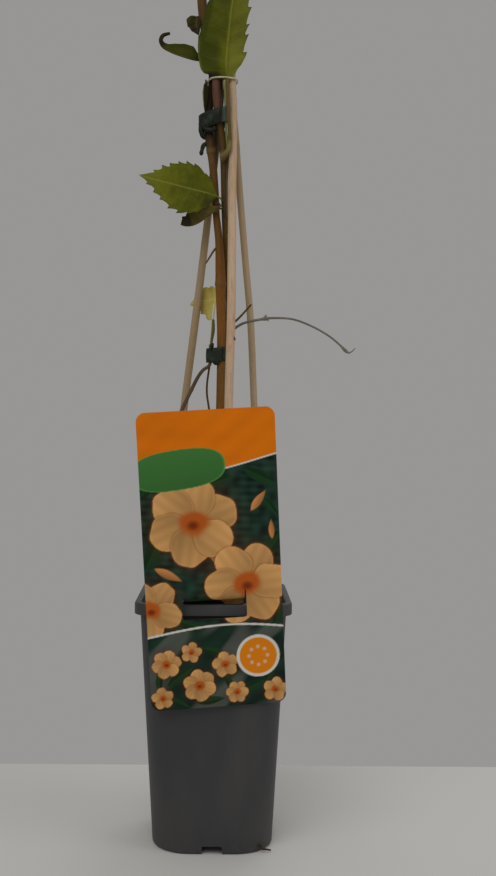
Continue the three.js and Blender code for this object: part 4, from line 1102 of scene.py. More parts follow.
def make_stems(sizes):
    furrow, joint = in_mm(sizes, "furrow", "joint")
    bark = vine_bark(sizes)
    olive = olive_bark(sizes)
    main = Shell()
    rod(
        main, STEM_MAIN, 24, 1.6, furrows(furrow, 41), rings_at(MAIN_JOINTS, joint),
        scar=scars(STEM_MAIN, MAIN_JOINTS),
    )
    for order, twig in enumerate(STEM_MAIN_TWIGS):
        rod(main, twig, 12, 1, furrows(0.08, 50 + order, 5), scar=0.0, bud=float(order == 1))
    main.piece("stem_main_bark", bark, "bark", "stem_main")
    second = Shell()
    rod(
        second, STEM_SECOND, 20, 1.8, furrows(0.8 * furrow, 61), rings_at(SECOND_JOINTS, 0.8 * joint),
        scar=scars(STEM_SECOND, SECOND_JOINTS, 2.8),
    )
    for order, twig in enumerate(STEM_SECOND_TWIGS):
        root_scar = 0.45 * order
        rod(
            second, twig, 12, 1, furrows(0.06, 63 + order, 5),
            scar=lambda share: root_scar * smooth((0.34 - share) / 0.08), living=0.35 * order,
        )
    second.piece("stem_second_bark", olive, "olive", "stem_second")
    thin = Shell()
    rod(
        thin, SHOOT_THIN, 10, 2, furrows(0.04, 71, 5),
        scar=0.0, living=lambda share: smooth((share - 0.86) / 0.04),
    )
    thin.piece("shoot_thin_bark", olive, "olive", "shoot_thin")
    left = Shell()
    rod(left, SHOOT_LEFT, 14, 1.5, furrows(0.08, 73, 6), rings_at(SHOOT_JOINTS, 0.25, 1.2))
    left.piece("shoot_left_bark", dry_twig("shoot_bark", sizes.twig), "twig", "shoot_left")


def make_stalks(sizes):
    long_stalk = Shell()
    rod(
        long_stalk, STALK_LONG, 12, 1, furrows(0.05, 81, 5),
        joint=lambda share: 0.6 * smooth((share - 0.82) / 0.18),
    )
    long_stalk.piece("stalk_long_green", green_stalk(sizes), "green", "stalk_long")
    bare = Shell()
    rod(bare, STALK_BARE, 12, 0.8, furrows(0.07, 83, 5))
    for tip in KNOT_TIPS:
        rod(bare, [[*KNOT_MIDDLE, 0.8], [*tip, 0.35]], 8, 0.6)
    bare.piece("stalk_bare_dry", dry_twig("bare_stalk", sizes.bare), "twig", "stalk_bare")


# ------------------ ring and ties

RING_LEVEL = 605.2
RING_TUBE = 0.7
RING_ROUTE = [
    [-8.5, 1.6], [-6.5, -3.6], [-4.1, -8.5], [-0.2, -10.1], [5.8, -10.4], [12.2, -8.2], [15.3, -6],
    [16, -2], [15.7, 4], [13.9, 8.6], [7.8, 10.9], [2.6, 11.4], [-3.4, 8.4], [-7.4, 5],
]

RING_POINTS = 180
TIE_POINTS = 220
LAP_LEAD = 14  # how many points early the lap starts
LAP_LIFT = 1.15  # in thicknesses, from the ribbon to its lap
LAP_WIDTH = 0.97  # in widths of the ribbon

# route: the ribbon's way round, seen from above. height: its own. level: its middle's height.
# slope: how much that rises for each millimetre to the right. sheen: how fast its painted
# sheen grows to the right. even: the least painted sheen. lap: the share of the way round that
# its end lies over its start. tails: the loose ends at the knot.
TIES = {
    "tie_upper": {
        "route": [
            [8.7, -6.8], [7.4, -8.6], [2.7, -8.7], [-2.3, -8], [-7.8, -7], [-12.8, -4.7], [-14.7, -0.8],
            [-13.4, 4], [-8.8, 8.6], [-3.6, 11.6], [1.4, 13.1], [5.2, 11], [5.8, 6.2], [7.2, 1], [8.1, -3.2],
        ],
        "height": 12.5,
        "level": 574.8,
        "slope": 0.26,
        "sheen": 0.5,
        "even": 0.0,
        "lap": 0.16,
        "tails": [
            [[-13, -4.4, 568, 1.2], [-12.8, -4.8, 564, 2], [-11.6, -4.8, 560, 1.9], [-10, -4.6, 557, 0.7]],
            [[-11, -5.6, 566.4, 1.6], [-8, -6.2, 564.6, 2.4], [-4, -6.6, 564, 2.6], [-0.4, -6.8, 566, 1.4]],
        ],
    },
    "tie_lower": {
        "route": [
            [8.7, -5], [7.5, -8.2], [4, -9.4], [-0.6, -8.9], [-4.6, -7.9], [-7.3, -5], [-6.7, -1.2],
            [-3.6, 1.2], [1.2, 0.4], [5.6, -0.7], [8, -2.6],
        ],
        "height": 11.2,
        "level": 384.2,
        "slope": 0.07,
        "sheen": 0.06,
        "even": 0.16,
        "lap": 0.12,
        "tails": [
            [[-3.4, -7.8, 387, 1], [-2.8, -8.3, 390.8, 1.5], [-2, -8.2, 393.4, 0.8]],
            [[-2.4, -8.6, 379, 1], [0.4, -9, 376.9, 1.3], [3, -9.2, 378.4, 0.9]],
        ],
    },
}

SHEEN_FROM = 3.6  # where the sheen starts, in X


def closed_frames(route, count, level):
    """Shares of the way round, and the points and outward directions there."""
    share = np.linspace(0, 1, count, endpoint=False)
    path = Route([[x, y, 0] for x, y in route], closed=True)
    centre = path.at(share)
    ahead = path.at((share + 0.004) % 1)
    behind = path.at((share - 0.004) % 1)
    along = unit(ahead - behind)
    out = np.stack([along[:, 1], -along[:, 0], np.zeros(count)], -1)
    middle = centre.mean(0)
    if np.mean(np.sum(out * (centre - middle), axis=1)) < 0:
        out = -out
    return share, centre + [0, 0, level], out


def make_ring(sizes):
    sides = 14
    share, centre, out = closed_frames(RING_ROUTE, RING_POINTS, RING_LEVEL)
    angle = circle(sides)
    radius = RING_TUBE * (1 + 0.05 * np.sin(share * 2 * math.pi * 9 + 1))
    up = np.array([0, 0, 1.0])
    offset = np.cos(angle)[:, None] * out[:, None] + np.sin(angle)[:, None] * up
    points = centre[:, None] + offset * radius[:, None, None]
    shell = Shell()
    shell.add(points, sheet_faces(RING_POINTS, sides, wrap=True, loop=True))
    shell.piece("top_ring_wire", ring_cream(sizes), "ring", "top_ring")


def make_tie(name, plan, sizes, material, seed):
    """A ribbon pulled tight round the stems, creased, with its end laid over itself."""
    thickness, crease = in_mm(sizes, "ribbon", "crease")
    _, centre, out = closed_frames(plan["route"], TIE_POINTS, 0)
    levels = np.linspace(-0.5, 0.5, 9)
    up = np.array([0, 0, 1.0])
    shell = Shell()

    def band(first, last, lift, shrink):
        """Adds the ribbon between two places on the way round, moved out by lift."""
        rows = np.arange(first, last) % TIE_POINTS
        closed = last - first == TIE_POINTS
        middle = centre[rows] + up * (plan["level"] + plan["slope"] * centre[rows, :1])
        section = []
        for face in (1, -1):
            for level in levels[::face]:
                edge = 1 - 0.75 * smooth((abs(level) - 0.44) / 0.06)
                place = middle + up * plan["height"] * level * shrink
                folds = ripple(place * [1, 1, 0.35], 5.5, seed) + 0.5 * ripple(place, 2.4, seed + 1)
                push = lift + crease * folds + face * 0.5 * thickness * edge
                section.append(place + out[rows] * push[:, None])
        points = np.stack(section, 1)
        columns = points.shape[1]
        faces = sheet_faces(len(rows), columns, wrap=True, loop=closed)
        if not closed:
            faces.append(list(range(columns))[::-1])
            faces.append([(len(rows) - 1) * columns + k for k in range(columns)])
        # Painted sheen that grows towards the right, never less than even.
        sheen = plan["sheen"] * (points[..., 0] - SHEEN_FROM)
        shell.add(points, faces, sheen=np.clip(sheen, plan["even"], 0.9))

    band(0, TIE_POINTS, 0.0, 1.0)
    start = int(plan["lap"] * 0.1 * TIE_POINTS)
    band(start - LAP_LEAD, start + int(plan["lap"] * TIE_POINTS), thickness * LAP_LIFT, LAP_WIDTH)
    for order, tail in enumerate(plan["tails"]):
        # The tails take no painted sheen.
        rod(shell, tail, 12, 0.7, furrows(0.14, seed + order, 4), sheen=-0.5)
    return shell.piece(f"{name}_ribbon", material, "tie", name, sharp=60)


def make_ties(sizes):
    material = tie_ribbon(sizes)
    for order, (name, plan) in enumerate(TIES.items()):
        make_tie(name, plan, sizes, material, seed=90 + 7 * order)


# ------------------ label

LABEL_HINGE = np.array([0.45, -67.2, 204.6])
LABEL_ROLL = math.radians(3.6)
LABEL_LEAN = math.radians(6.5)
LABEL_YAW = math.radians(5)
WINDOW = {"width": 48, "depth": 21.5, "top": 0.4, "corner": 2.5}
WINDOW_BOX = (-WINDOW["width"] / 2, WINDOW["width"] / 2, -WINDOW["depth"], WINDOW["top"])
CARD_SOFT = 0.15  # bevel of the card's edges
PRINT_LIFT = 0.03  # from the card to its print
CUT_REACH = 4  # how far the window's tool stands out on each side
TONGUE_WIDTH = 46
# From the hinge over the rim and down inside it, in depth and height.
TONGUE_LINE = [[0, 1], [0.4, -2], [2, -5.6], [5.8, -8.4], [11.6, -9.9], [15.8, -13.4], [16.8, -19]]
# The print, across and up from the hinge. A wavy edge has a level, how far it strays from
# that, where it strays most, and the wave's length over two pi.
HEADER_EDGE = {"level": 97, "rise": -9, "crest": -20, "span": 36}
PANEL_EDGE = {"level": -32, "rise": 5.5, "crest": 8, "span": 34}
BADGE = {"centre": (31, -52), "radius": 16.5, "ring": 2.2, "dots": 8, "circle": 7, "dot": 1.7}
# Rosettes: across, up, radius, number of petals and turn.
ROSETTES = [
    (-47, -12, 23, 5, 0.9), (-13, 52, 33, 6, 0.35), (25, 4, 31, 6, 1.1),
]
SMALL_ROSETTES = [
    (-38, -54, 11, 6, 0.2), (-14, -72, 12.5, 6, 0.7), (-19, -46, 8, 5, 1.3), (6, -57, 10, 5, 0.5),
    (14, -79, 8.5, 6, 1.0), (43, -79, 9.5, 5, 0.1), (-42, -80, 8.5, 5, 1.7),
]
# Buds and lances: across, up, length, width and turn.
BUDS = [(36, 66, 20, 6.5, 0.9), (-33, 14, 24, 7, -0.5), (45, 44, 16, 5, 1.6), (2, 24, 15, 5, 2.4)]
LANCES = [
    (38, 84, 30, 9, -0.5), (44, 30, 34, 10, 0.9), (-42, 34, 36, 11, 1.1), (-8, -10, 40, 11, 0.2),
    (8, 82, 24, 7, 0.3), (-44, 80, 26, 8, 0.8), (48, -18, 28, 9, 1.3), (-20, -24, 26, 7, -0.4),
    (12, -26, 22, 6, 0.7), (44, 62, 22, 6, 2.2),
]
PANEL_LANCES = [
    (-28, -64, 26, 8, 0.6), (-2, -46, 24, 7, -0.3), (24, -76, 28, 8, 0.4), (-6, -84, 24, 7, 0.1),
    (40, -66, 20, 6, 1.0), (-44, -66, 20, 6, 1.5), (8, -70, 18, 6, 1.9), (-30, -84, 20, 6, -0.5),
]
GREEN_PLAQUE = {"centre": (-22, 92), "half": (34, 14.5), "tilt": 0.1}
PRINT_WHITE = tint(228, 224, 214)
PRINT_GREY = tint(128, 124, 118)
GROUND_GLOW = np.array([0.012, 0.03, 0.02])
# Factors for red, green and blue that turn one printed colour into another.
PLAQUE_TONE = np.array([1.8, 1.4, 1.05])
BADGE_TONE = np.array([1, 1.25, 3.0])
BUD_TONE = np.array([0.95, 0.72, 0.6])
HEART_TONE = np.array([0.42, 0.3, 0.3])
PETAL_TONE = np.array([1.0, 0.97, 0.92])


def over(ink, share, colour):
    """Lays a colour over the print where share says so."""
    share = np.clip(share, 0, 1)[:, None]
    return ink * (1 - share) + np.asarray(colour)[..., :3] * share


def tilted(dx, dy, turn):
    """Flat distances as seen along a direction, and to its left."""
    return dx * math.cos(turn) + dy * math.sin(turn), dy * math.cos(turn) - dx * math.sin(turn)


def flat_spots(across, up):
    """Points on the flat card, for noise."""
    return np.stack([across, up, np.zeros_like(across)], -1)


def wavy(across, edge):
    """The height of a wavy edge."""
    return edge["level"] + edge["rise"] * np.cos((across - edge["crest"]) / edge["span"])


def lance(across, up, x, y, length, width, turn):
    """How far each point is inside a slender leaf, to its midrib's left and along it."""
    along, side = tilted(across - x, up - y, turn)
    along = along / (length / 2)
    half = width / 2 * np.clip(1 - along**2, 0, 1) * (1 - 0.25 * along)
    return half - np.abs(side), side, along


def paint_lances(ink, across, up, plans, colours):
    """Slender leaves, each with one half in a darker colour and a paler midrib."""
    for order, plan in enumerate(plans):
        inside, side, along = lance(across, up, *plan)
        shade = 0.5 + 0.25 * np.sign(side) * (1 if order % 2 else -1) + 0.15 * along
        colour = colours[0] * (1 - shade[:, None]) + colours[1] * shade[:, None]
        ink = over(ink, smooth(inside / 0.9), colour)
        ink = over(ink, 0.6 * smooth((0.5 - np.abs(side)) / 0.5) * (inside > 0.6), colours[2])
    return ink


def paint_rosette(ink, across, up, plan, colours):
    """A ruffled flower of overlapping petals round a deep orange throat."""
    petal, rim, shadow, throat, heart = colours
    x, y, radius, petals, turn = plan
    dx = across - x
    dy = up - y
    wobble = ripple(flat_spots(across, up), radius * 0.5, int(radius * 7)) * 0.035 * radius
    shade = smooth(1.25 - np.hypot(dx, dy) / (1.15 * radius))
    ink = over(ink, 0.55 * shade, shadow * 0.35)
    for k in range(petals):
        along, side = tilted(dx, dy, turn + 2 * math.pi * k / petals)
        inside = radius - np.hypot((along - 0.56 * radius) / 0.46, side / 0.44) + wobble * 1.6
        outer = np.clip(along / radius, 0, 1)
        light = 0.5 + 0.5 * outer + 0.2 * np.clip(side / (0.4 * radius), -1, 1)
        light = light + 0.12 * np.sin(side / radius * 26 + k) * outer
        tone = 0.84 + 0.16 * (3 * k % 4) / 3
        colour = petal * tone * (0.32 + 0.7 * light[:, None]) * PETAL_TONE
        edge = smooth((0.14 * radius - inside) / (0.14 * radius))
        colour = colour * (1 - 0.35 * edge[:, None]) + rim * 0.35 * edge[:, None]
        soft = smooth((inside + 0.1 * radius) / (0.1 * radius))
        ink = over(ink, 0.4 * soft, shadow)
        ink = over(ink, smooth(inside / 0.8), colour)
    middle = np.hypot(dx, dy * 1.12) + wobble
    ink = over(ink, smooth((0.42 * radius - middle) / (0.2 * radius)), throat)
    deep = np.hypot(dx, (dy + 0.06 * radius) * 1.3)
    return over(ink, smooth((0.2 * radius - deep) / (0.16 * radius)), heart)


def paint_bud(ink, across, up, plan, colour):
    inside, side, along = lance(across, up, *plan)
    width = plan[3]
    light = 0.75 + 0.3 * np.clip(side / (width / 2), -1, 1)
    return over(ink, smooth(inside / 0.8), colour * light[:, None] * (1 - 0.2 * along[:, None]))


def paint_plaque(ink, across, up, colour):
    """A plain rounded bar with a paler rim."""
    x, y = GREEN_PLAQUE["centre"]
    half_x, half_y = GREEN_PLAQUE["half"]
    along, above = tilted(across - x, up - y, GREEN_PLAQUE["tilt"])
    inside = 1 - (np.abs(along / half_x) ** 2.6 + np.abs(above / half_y) ** 2.6)
    ink = over(ink, smooth((inside + 0.1) / 0.06), colour * 1.5)
    shaded = colour * (0.97 + 0.16 * np.clip(above / half_y, -1, 1))[:, None]
    return over(ink, smooth(inside / 0.06), shaded)


def paint_badge(ink, across, up, colour):
    """A round badge with a pale rim and a circle of dots."""
    dx = across - BADGE["centre"][0]
    dy = up - BADGE["centre"][1]
    inside = BADGE["radius"] - np.hypot(dx, dy)
    ink = over(ink, smooth(inside / 0.5), PRINT_WHITE)
    ink = over(ink, smooth((inside - BADGE["ring"]) / 0.5), colour)
    for turn in circle(BADGE["dots"]):
        spot = np.hypot(dx - BADGE["circle"] * math.cos(turn), dy - BADGE["circle"] * math.sin(turn))
        ink = over(ink, 0.5 * smooth((BADGE["dot"] - spot) / 0.6), PRINT_WHITE)
    return ink


def label_ink(across, up, sizes):
    """The card's plain printed pattern: colours at points across and up from the hinge."""
    names = ("header", "petal", "throat", "ground", "foliage")
    header, petal, throat, ground, foliage = (np.array(getattr(sizes, name)[:3]) for name in names)
    greens = (foliage * 0.16, foliage * 0.4, foliage * 0.62)
    flower = (petal, petal * 1.12, throat * 0.55, throat, throat * HEART_TONE)
    spots = flat_spots(across, up)
    mottle = (0.5 + 0.5 * ripple(spots, 17, 3))[:, None]
    ink = ground * (0.6 + 0.8 * mottle) + GROUND_GLOW * (0.5 + 0.5 * ripple(spots, 7, 4))[:, None]
    ink = paint_lances(ink, across, up, LANCES, greens)
    for bud in BUDS:
        ink = paint_bud(ink, across, up, bud, petal * BUD_TONE)
    for plan in ROSETTES:
        ink = paint_rosette(ink, across, up, plan, flower)
    pale = smooth((ripple(spots, 26, 9) + 0.1) / 0.8)[:, None]
    panel = ground * (0.8 + mottle) + 0.35 * pale * np.array(PRINT_GREY[:3])
    panel = paint_lances(panel, across, up, PANEL_LANCES, greens)
    for plan in SMALL_ROSETTES:
        panel = paint_rosette(panel, across, up, plan, flower)
    below_edge = wavy(across, PANEL_EDGE) - up
    ink = over(ink, smooth(below_edge / 0.6), panel)
    ink = over(ink, smooth((1.0 - np.abs(below_edge)) / 0.5), PRINT_WHITE)
    above_edge = up - wavy(across, HEADER_EDGE)
    ink = over(ink, smooth(above_edge / 0.6), header * (0.94 + 0.08 * mottle))
    ink = over(ink, smooth((0.8 - np.abs(above_edge)) / 0.5), PRINT_WHITE)
    ink = paint_plaque(ink, across, up, foliage * PLAQUE_TONE)
    ink = paint_badge(ink, across, up, header * BADGE_TONE)
    return np.clip(ink, 0, 1)


def hang(points):
    """Turns the flat card's points, in X, depth and Z, to where it hangs."""
    turn = spin(2, LABEL_YAW) @ spin(0, LABEL_LEAN) @ spin(1, -LABEL_ROLL)
    return np.asarray(points, float) @ turn.T + LABEL_HINGE


def inside_rounded(x, z, left, right, low, high, corner):
    """Signed depth inside an upright rounded rectangle."""
    past_x = np.abs(x - (left + right) / 2) - (right - left) / 2 + corner
    past_z = np.abs(z - (low + high) / 2) - (high - low) / 2 + corner
    outside = np.hypot(np.maximum(past_x, 0), np.maximum(past_z, 0))
    return corner - outside - np.minimum(np.maximum(past_x, past_z), 0)


def lined_up(low, high, cell, stops):
    """Evenly spaced values from low to high that meet each stop exactly."""
    edges = sorted({low, high, *stops})
    values = []
    for first, last in zip(edges, edges[1:]):
        count = max(1, int(round((last - first) / cell)))
        values.append(np.linspace(first, last, count, endpoint=False))
    return np.concatenate([*values, [high]])


def window_depth(x, z):
    """Signed depth inside the card's window."""
    return inside_rounded(x, z, *WINDOW_BOX, WINDOW["corner"])


def print_grid(sizes):
    """X and Z of the card's face on a grid that follows its corners and the window's edge."""
    width, above, below, corner, cell = in_mm(sizes, "width", "above", "below", "corner", "print_cell")
    half_width = width / 2
    acrosses = lined_up(-half_width, half_width, cell, WINDOW_BOX[:2])
    x, z = np.meshgrid(acrosses, lined_up(-below, above, cell, WINDOW_BOX[2:]))
    # Each row shrinks to fit between the rounded corners.
    past = np.maximum(np.maximum(z - (above - corner), (corner - below) - z), 0)
    x = x * (half_width - corner + np.sqrt(np.maximum(corner**2 - past**2, 0))) / half_width
    # The points next to the window's edge move onto it.
    step = 0.01
    depth = window_depth(x, z)
    slope_x = window_depth(x + step, z) - depth
    slope_z = window_depth(x, z + step) - depth
    size = np.maximum(np.hypot(slope_x, slope_z), 1e-6)
    near = np.abs(depth) < 0.55 * cell
    return np.where(near, x - depth * slope_x / size, x), np.where(near, z - depth * slope_z / size, z)


def tongue_frame(count):
    """Lengths along the tongue, its middle line there and where its printed face looks."""
    line = Route([[0, y, up] for y, up in TONGUE_LINE])
    share = np.linspace(0, 1, count)
    along = line.heading(share)
    out = np.stack([np.zeros(count), along[:, 2], -along[:, 1]], -1)
    return share * line.length, line.at(share), out


def make_label(sizes):
    """The card's print on its face and its tongue, and the bare card under it."""
    x, z = print_grid(sizes)
    middle_x = (x[1:, 1:] + x[:-1, :-1]) / 2
    middle_z = (z[1:, 1:] + z[:-1, :-1]) / 2
    corners = np.array(sheet_faces(*x.shape))[(window_depth(middle_x, middle_z) < 0).ravel()]
    used, corners = np.unique(corners, return_inverse=True)
    x = x.ravel()[used]
    z = z.ravel()[used]
    lift = sizes.thickness / MM / 2 + PRINT_LIFT
    shell = Shell()
    shell.add(hang(np.stack([x, np.full(x.size, -lift), z], -1)), corners.reshape(-1, 4).tolist(), sheet=True)
    # The tongue carries on the print of the window that it folds back from.
    steps = 61
    run, middle, out = tongue_frame(steps)
    tongue_x = np.linspace(-TONGUE_WIDTH / 2, TONGUE_WIDTH / 2, 80)
    strip = middle[:, None] + out[:, None] * lift + tongue_x[None, :, None] * [1, 0, 0]
    strip_faces = [face[::-1] for face in sheet_faces(steps, len(tongue_x))]
    shell.add(hang(strip.reshape(-1, 3)), strip_faces, sheet=True)
    across = np.concatenate([x, np.tile(tongue_x, steps)])
    up = np.concatenate([z, np.repeat(TONGUE_LINE[0][1] - run, len(tongue_x))])
    printed = shell.piece("label_print", card_print(), "card", "label")
    ink = np.concatenate([label_ink(across, up, sizes), np.ones((len(up), 1))], 1)
    layer = printed.data.color_attributes.new("ink", "FLOAT_COLOR", "POINT")
    layer.data.foreach_set("color", ink.astype(np.float32).ravel())
    make_card(sizes)


def outline_ring(left, right, low, high, corner, y, arc=12):
    """A ring round an upright rounded rectangle."""
    points = []
    for x, z, start in (
        (right - corner, low + corner, -0.5),
        (right - corner, high - corner, 0.0),
        (left + corner, high - corner, 0.5),
        (left + corner, low + corner, 1.0),
    ):
        for k in range(arc + 1):
            angle = (start + 0.5 * k / arc) * math.pi
            points.append([x + corner * math.cos(angle), y, z + corner * math.sin(angle)])
    return np.array(points)


def make_card(sizes):
    """The bare card with its window and tongue, under the print."""
    thickness, width, above, below, corner = in_mm(sizes, "thickness", "width", "above", "below", "corner")
    half = thickness / 2
    rings = []
    for inset, y in ((CARD_SOFT, -half), (0, CARD_SOFT - half), (0, half - CARD_SOFT), (CARD_SOFT, half)):
        box = (inset - width / 2, width / 2 - inset, inset - below, above - inset)
        rings.append(outline_ring(*box, corner - inset, y))
    card = loose_thing("label_card", *stacked(rings))
    hole = [outline_ring(*WINDOW_BOX, WINDOW["corner"], y) for y in (-CUT_REACH, CUT_REACH)]
    cut_away(card, [loose_thing("window", *stacked(hole))])
    steps = 49
    _, middle, out = tongue_frame(steps)
    strips = []
    for reach, across in ((half, -0.5), (half, 0.5), (-half, 0.5), (-half, -0.5)):
        strips.append(middle + out * reach + np.array([TONGUE_WIDTH * across, 0, 0]))
    tongue = np.stack(strips, 1).reshape(-1, 3)
    last = (steps - 1) * 4
    ends = [[3, 2, 1, 0], [last, last + 1, last + 2, last + 3]]
    plate_faces = len(card.data.polygons)
    add_to(card, tongue, outward(tongue, sheet_faces(steps, 4, wrap=True) + ends))
    # The edges and the face under the print are dark.
    dark = [float(face.index < plate_faces and face.normal.y < 0.5) for face in card.data.polygons]
    card.data.attributes.new("rim", "FLOAT", "FACE").data.foreach_set("value", dark)
    places = np.array([list(vertex.co) for vertex in card.data.vertices]) / MM
    hung = (hang(places) * MM).astype(np.float32)
    card.data.vertices.foreach_set("co", hung.ravel())
    card.data.update()
    settle(card, card_white(sizes), "card", "label", sharp=35)


# ------------------ leaflets

YOUNG_LEAF = {
    "fold": ((14, 14), (14, 14)),
    "tooth": (1.2, 1.2),
    "stalk": 0.16,
    "teeth": ([0.36, 0.52, 0.68, 0.82], [0.4, 0.56, 0.72, 0.86]),
    "slot": "green",
}

# midrib: points from the stalk's foot to the tip. left, right: half widths, evenly spaced
# along it, on both sides the same where only the left ones are given. facing: the upper
# face's direction at the foot and at the tip. fold: each half's tilt towards that face at
# the foot and at the tip, in degrees. curl: how much further it turns from the midrib to
# the margin. stalk: its share of the length. teeth: shares of the length where teeth point,
# left and right. tooth: how far they stand out on each side. torn: how ragged the margin
# is. rib: how pale the midrib is beside those of the others. bits: small scraps by the
# fold. slot: which leaf colours it has.
LEAVES = {
    "leaf_top": {
        "midrib": [
            [7, -9.2, 603.6], [7.2, -10.4, 607.7], [6.9, -11.6, 617], [8.9, -14, 641], [10.4, -16, 654.7],
            [11.9, -17, 666.2], [12.6, -17.6, 685.2], [12, -17, 703.2],
        ],
        "left": [9, 18.5, 22, 23.6, 24.5, 24.5, 23.6, 23, 22.3, 21.6, 20.6, 19, 16.6, 13.6, 9.6, 5, 0.5],
        "right": [3, 8.5, 12.2, 13.8, 14, 14, 14, 14.2, 14.2, 14, 13.6, 12.6, 11, 9, 6.6, 3.8, 0.5],
        "facing": [[0.05, -1, 0.1], [0.1, -1, 0.25]],
        "fold": ((-4, -30), (-4, -8)),
        "curl": -14,
        "stalk": 0,
        "teeth": ([0.1, 0.2, 0.33, 0.46, 0.6, 0.74, 0.87], [0.22, 0.36, 0.44, 0.58, 0.7, 0.81, 0.91]),
        "tooth": (0.6, 3.2),
        "slot": "green",
    },
    "leaf_curled": {
        "midrib": [
            [-8.7, 0.8, 621.6], [-14.8, -2.5, 621], [-25.4, -4.5, 622.7], [-37.8, -6, 626.5],
            [-44.4, -6.5, 630.2], [-46.8, -6.5, 635.7], [-44.6, -6, 640.7], [-38.6, -5, 642.7],
        ],
        "left": [0.7, 3.6, 10.5, 10.5, 8.5, 5.2, 3.6, 3.2, 2],
        "right": [0.7, 3.4, 9.5, 9.5, 8, 4.8, 3.4, 3, 2],
        "facing": [[0, 0, 1], [1, 0, -0.6]],
        "fold": ((40, 50), (40, 50)),
        "curl": 15,
        "stalk": 0.1,
        "slot": "green",
    },
    "leaf_dark": {
        "midrib": [
            [-16.1, -0.4, 657.6], [-17.2, -1.6, 653.6], [-17.2, -2.6, 649.2], [-16.4, -3.2, 645.2],
            [-15.2, -3.6, 641.4],
        ],
        "left": [0.6, 3.2, 4.4, 4.4, 3.2, 2, 0.4],
        "right": [0.6, 6, 8.4, 7, 5.2, 3.2, 0.4],
        "facing": [[-0.25, -0.95, 0.1], [-0.25, -0.95, 0.1]],
        "fold": ((8, 8), (16, 8)),
        "curl": 24,
        "stalk": 0.06,
        "teeth": ([], [0.3, 0.55, 0.78]),
        "tooth": (0.0, 0.8),
        "slot": "dark",
    },
    "leaf_sliver": {
        "midrib": [[-9.4, -1.8, 605.8], [-9.2, -3.6, 599], [-9.3, -4.6, 590], [-10, -4.7, 580]],
        "left": [0.6, 2.2, 3, 2.6, 1.6, 0.4],
        "right": [0.6, 2.4, 3.2, 2.8, 1.8, 0.4],
        "facing": [[-0.6, -0.8, 0], [-0.6, -0.8, 0]],
        "fold": ((8, 12), (8, 12)),
        "stalk": 0.12,
        "rib": 0.0,
        "slot": "dark",
    },
    "leaf_middle": {
        "midrib": [
            [4.2, -2, 507.7], [3.9, -6, 508.8], [1, -9.4, 510], [-7.7, -13, 512.2], [-21.1, -17.2, 514.6],
            [-35.2, -20.8, 517.4], [-48.5, -23.6, 520.1], [-59.3, -26, 522.6],
        ],
        "left": [0.7, 0.9, 13.5, 19.5, 22.5, 20, 13.5, 5.5, 0.3],
        "right": [0.7, 0.9, 14, 20.5, 21, 18.5, 13, 5.5, 0.3],
        "facing": [[-0.1, -1, 0.3], [-0.25, -1, 0.3]],
        "fold": ((6, 6), (6, 6)),
        "curl": -8,
        "stalk": 0.15,
        "teeth": (
            [0.25, 0.35, 0.43, 0.54, 0.64, 0.74, 0.82, 0.91],
            [0.28, 0.42, 0.52, 0.61, 0.7, 0.78, 0.86],
        ),
        "tooth": (2.6, 2.4),
        "slot": "green",
    },
    "leaf_folded": {
        "midrib": [
            [4.4, -1.6, 501.4], [4.3, -6.6, 501.2], [1, -10.8, 499.6], [-6.3, -12.2, 494.8],
            [-12.5, -13, 489.6], [-18.5, -13.6, 486.4], [-24.5, -14.2, 485.6], [-28.4, -14.6, 486.6],
        ],
        "left": [0.7, 0.9, 3.2, 7, 11, 13, 12.5, 10.5, 6],
        "facing": [[0, 0.1, 1], [0.1, 0.05, 1]],
        "fold": ((74, 76), (74, 76)),
        "curl": 6,
        "stalk": 0.2,
        "teeth": ([0.5, 0.66, 0.82], [0.56, 0.74]),
        "tooth": (0.8, 0.8),
        "bits": (
            [[3.6, -9.2, 502.4, 0.6], [1.6, -10.4, 504.6, 0.9], [-0.4, -11, 504.2, 0.4]],
            [[2.4, -10.6, 500.6, 0.5], [0.6, -11.6, 498.2, 1], [-0.6, -11.8, 496.6, 0.5]],
        ),
        "slot": "dark",
    },
    "leaf_pale": {
        "midrib": [
            [-2.1, 0.6, 414], [-1.4, 2.2, 421], [-0.8, 4.6, 426.6], [-1.9, 8.4, 429.4], [-6, 14, 430.2],
            [-10.5, 19.2, 430.4], [-15.5, 23.6, 430], [-21.3, 27, 428.2],
        ],
        "left": [0.6, 0.6, 0.6, 0.6, 0.8, 4, 16, 15, 11.5, 9, 6, 3.5, 0.4],
        "right": [0.6, 0.6, 0.6, 0.6, 2, 9, 11.5, 11.5, 11, 9, 6, 3.5, 0.4],
        "facing": [[-0.7, -0.7, 0], [-0.7, -0.7, 0]],
        "fold": ((0, -6), (0, -4)),
        "curl": -4,
        "stalk": 0.34,
        "teeth": ([0.63, 0.78, 0.93], [0.56, 0.72, 0.9]),
        "tooth": (1.4, 1.2),
        "torn": 1.1,
        "slot": "pale",
    },
    "leaf_young_left": {
        "midrib": [
            [-18.4, 0.5, 693.2], [-21, -0.8, 698.6], [-26, -3, 709.4], [-29.4, -6, 719.4],
            [-30.8, -10, 725.2],
        ],
        "left": [0.7, 1, 6, 8.2, 7, 4, 0.3],
        "facing": [[0.5, -0.6, 0.6], [0.5, -0.4, 1]],
        **YOUNG_LEAF,
    },
    "leaf_young_back": {
        "midrib": [
            [-12.1, 4.8, 687.8], [-10.4, 7.8, 694.2], [-6.8, 13, 704.2], [-3.4, 19, 712.2], [-1.2, 25, 716.2],
        ],
        "left": [0.7, 1, 5.4, 7.4, 6.4, 3.6, 0.3],
        "facing": [[-0.4, -0.6, 0.6], [-0.3, -0.4, 1]],
        **YOUNG_LEAF,
    },
}

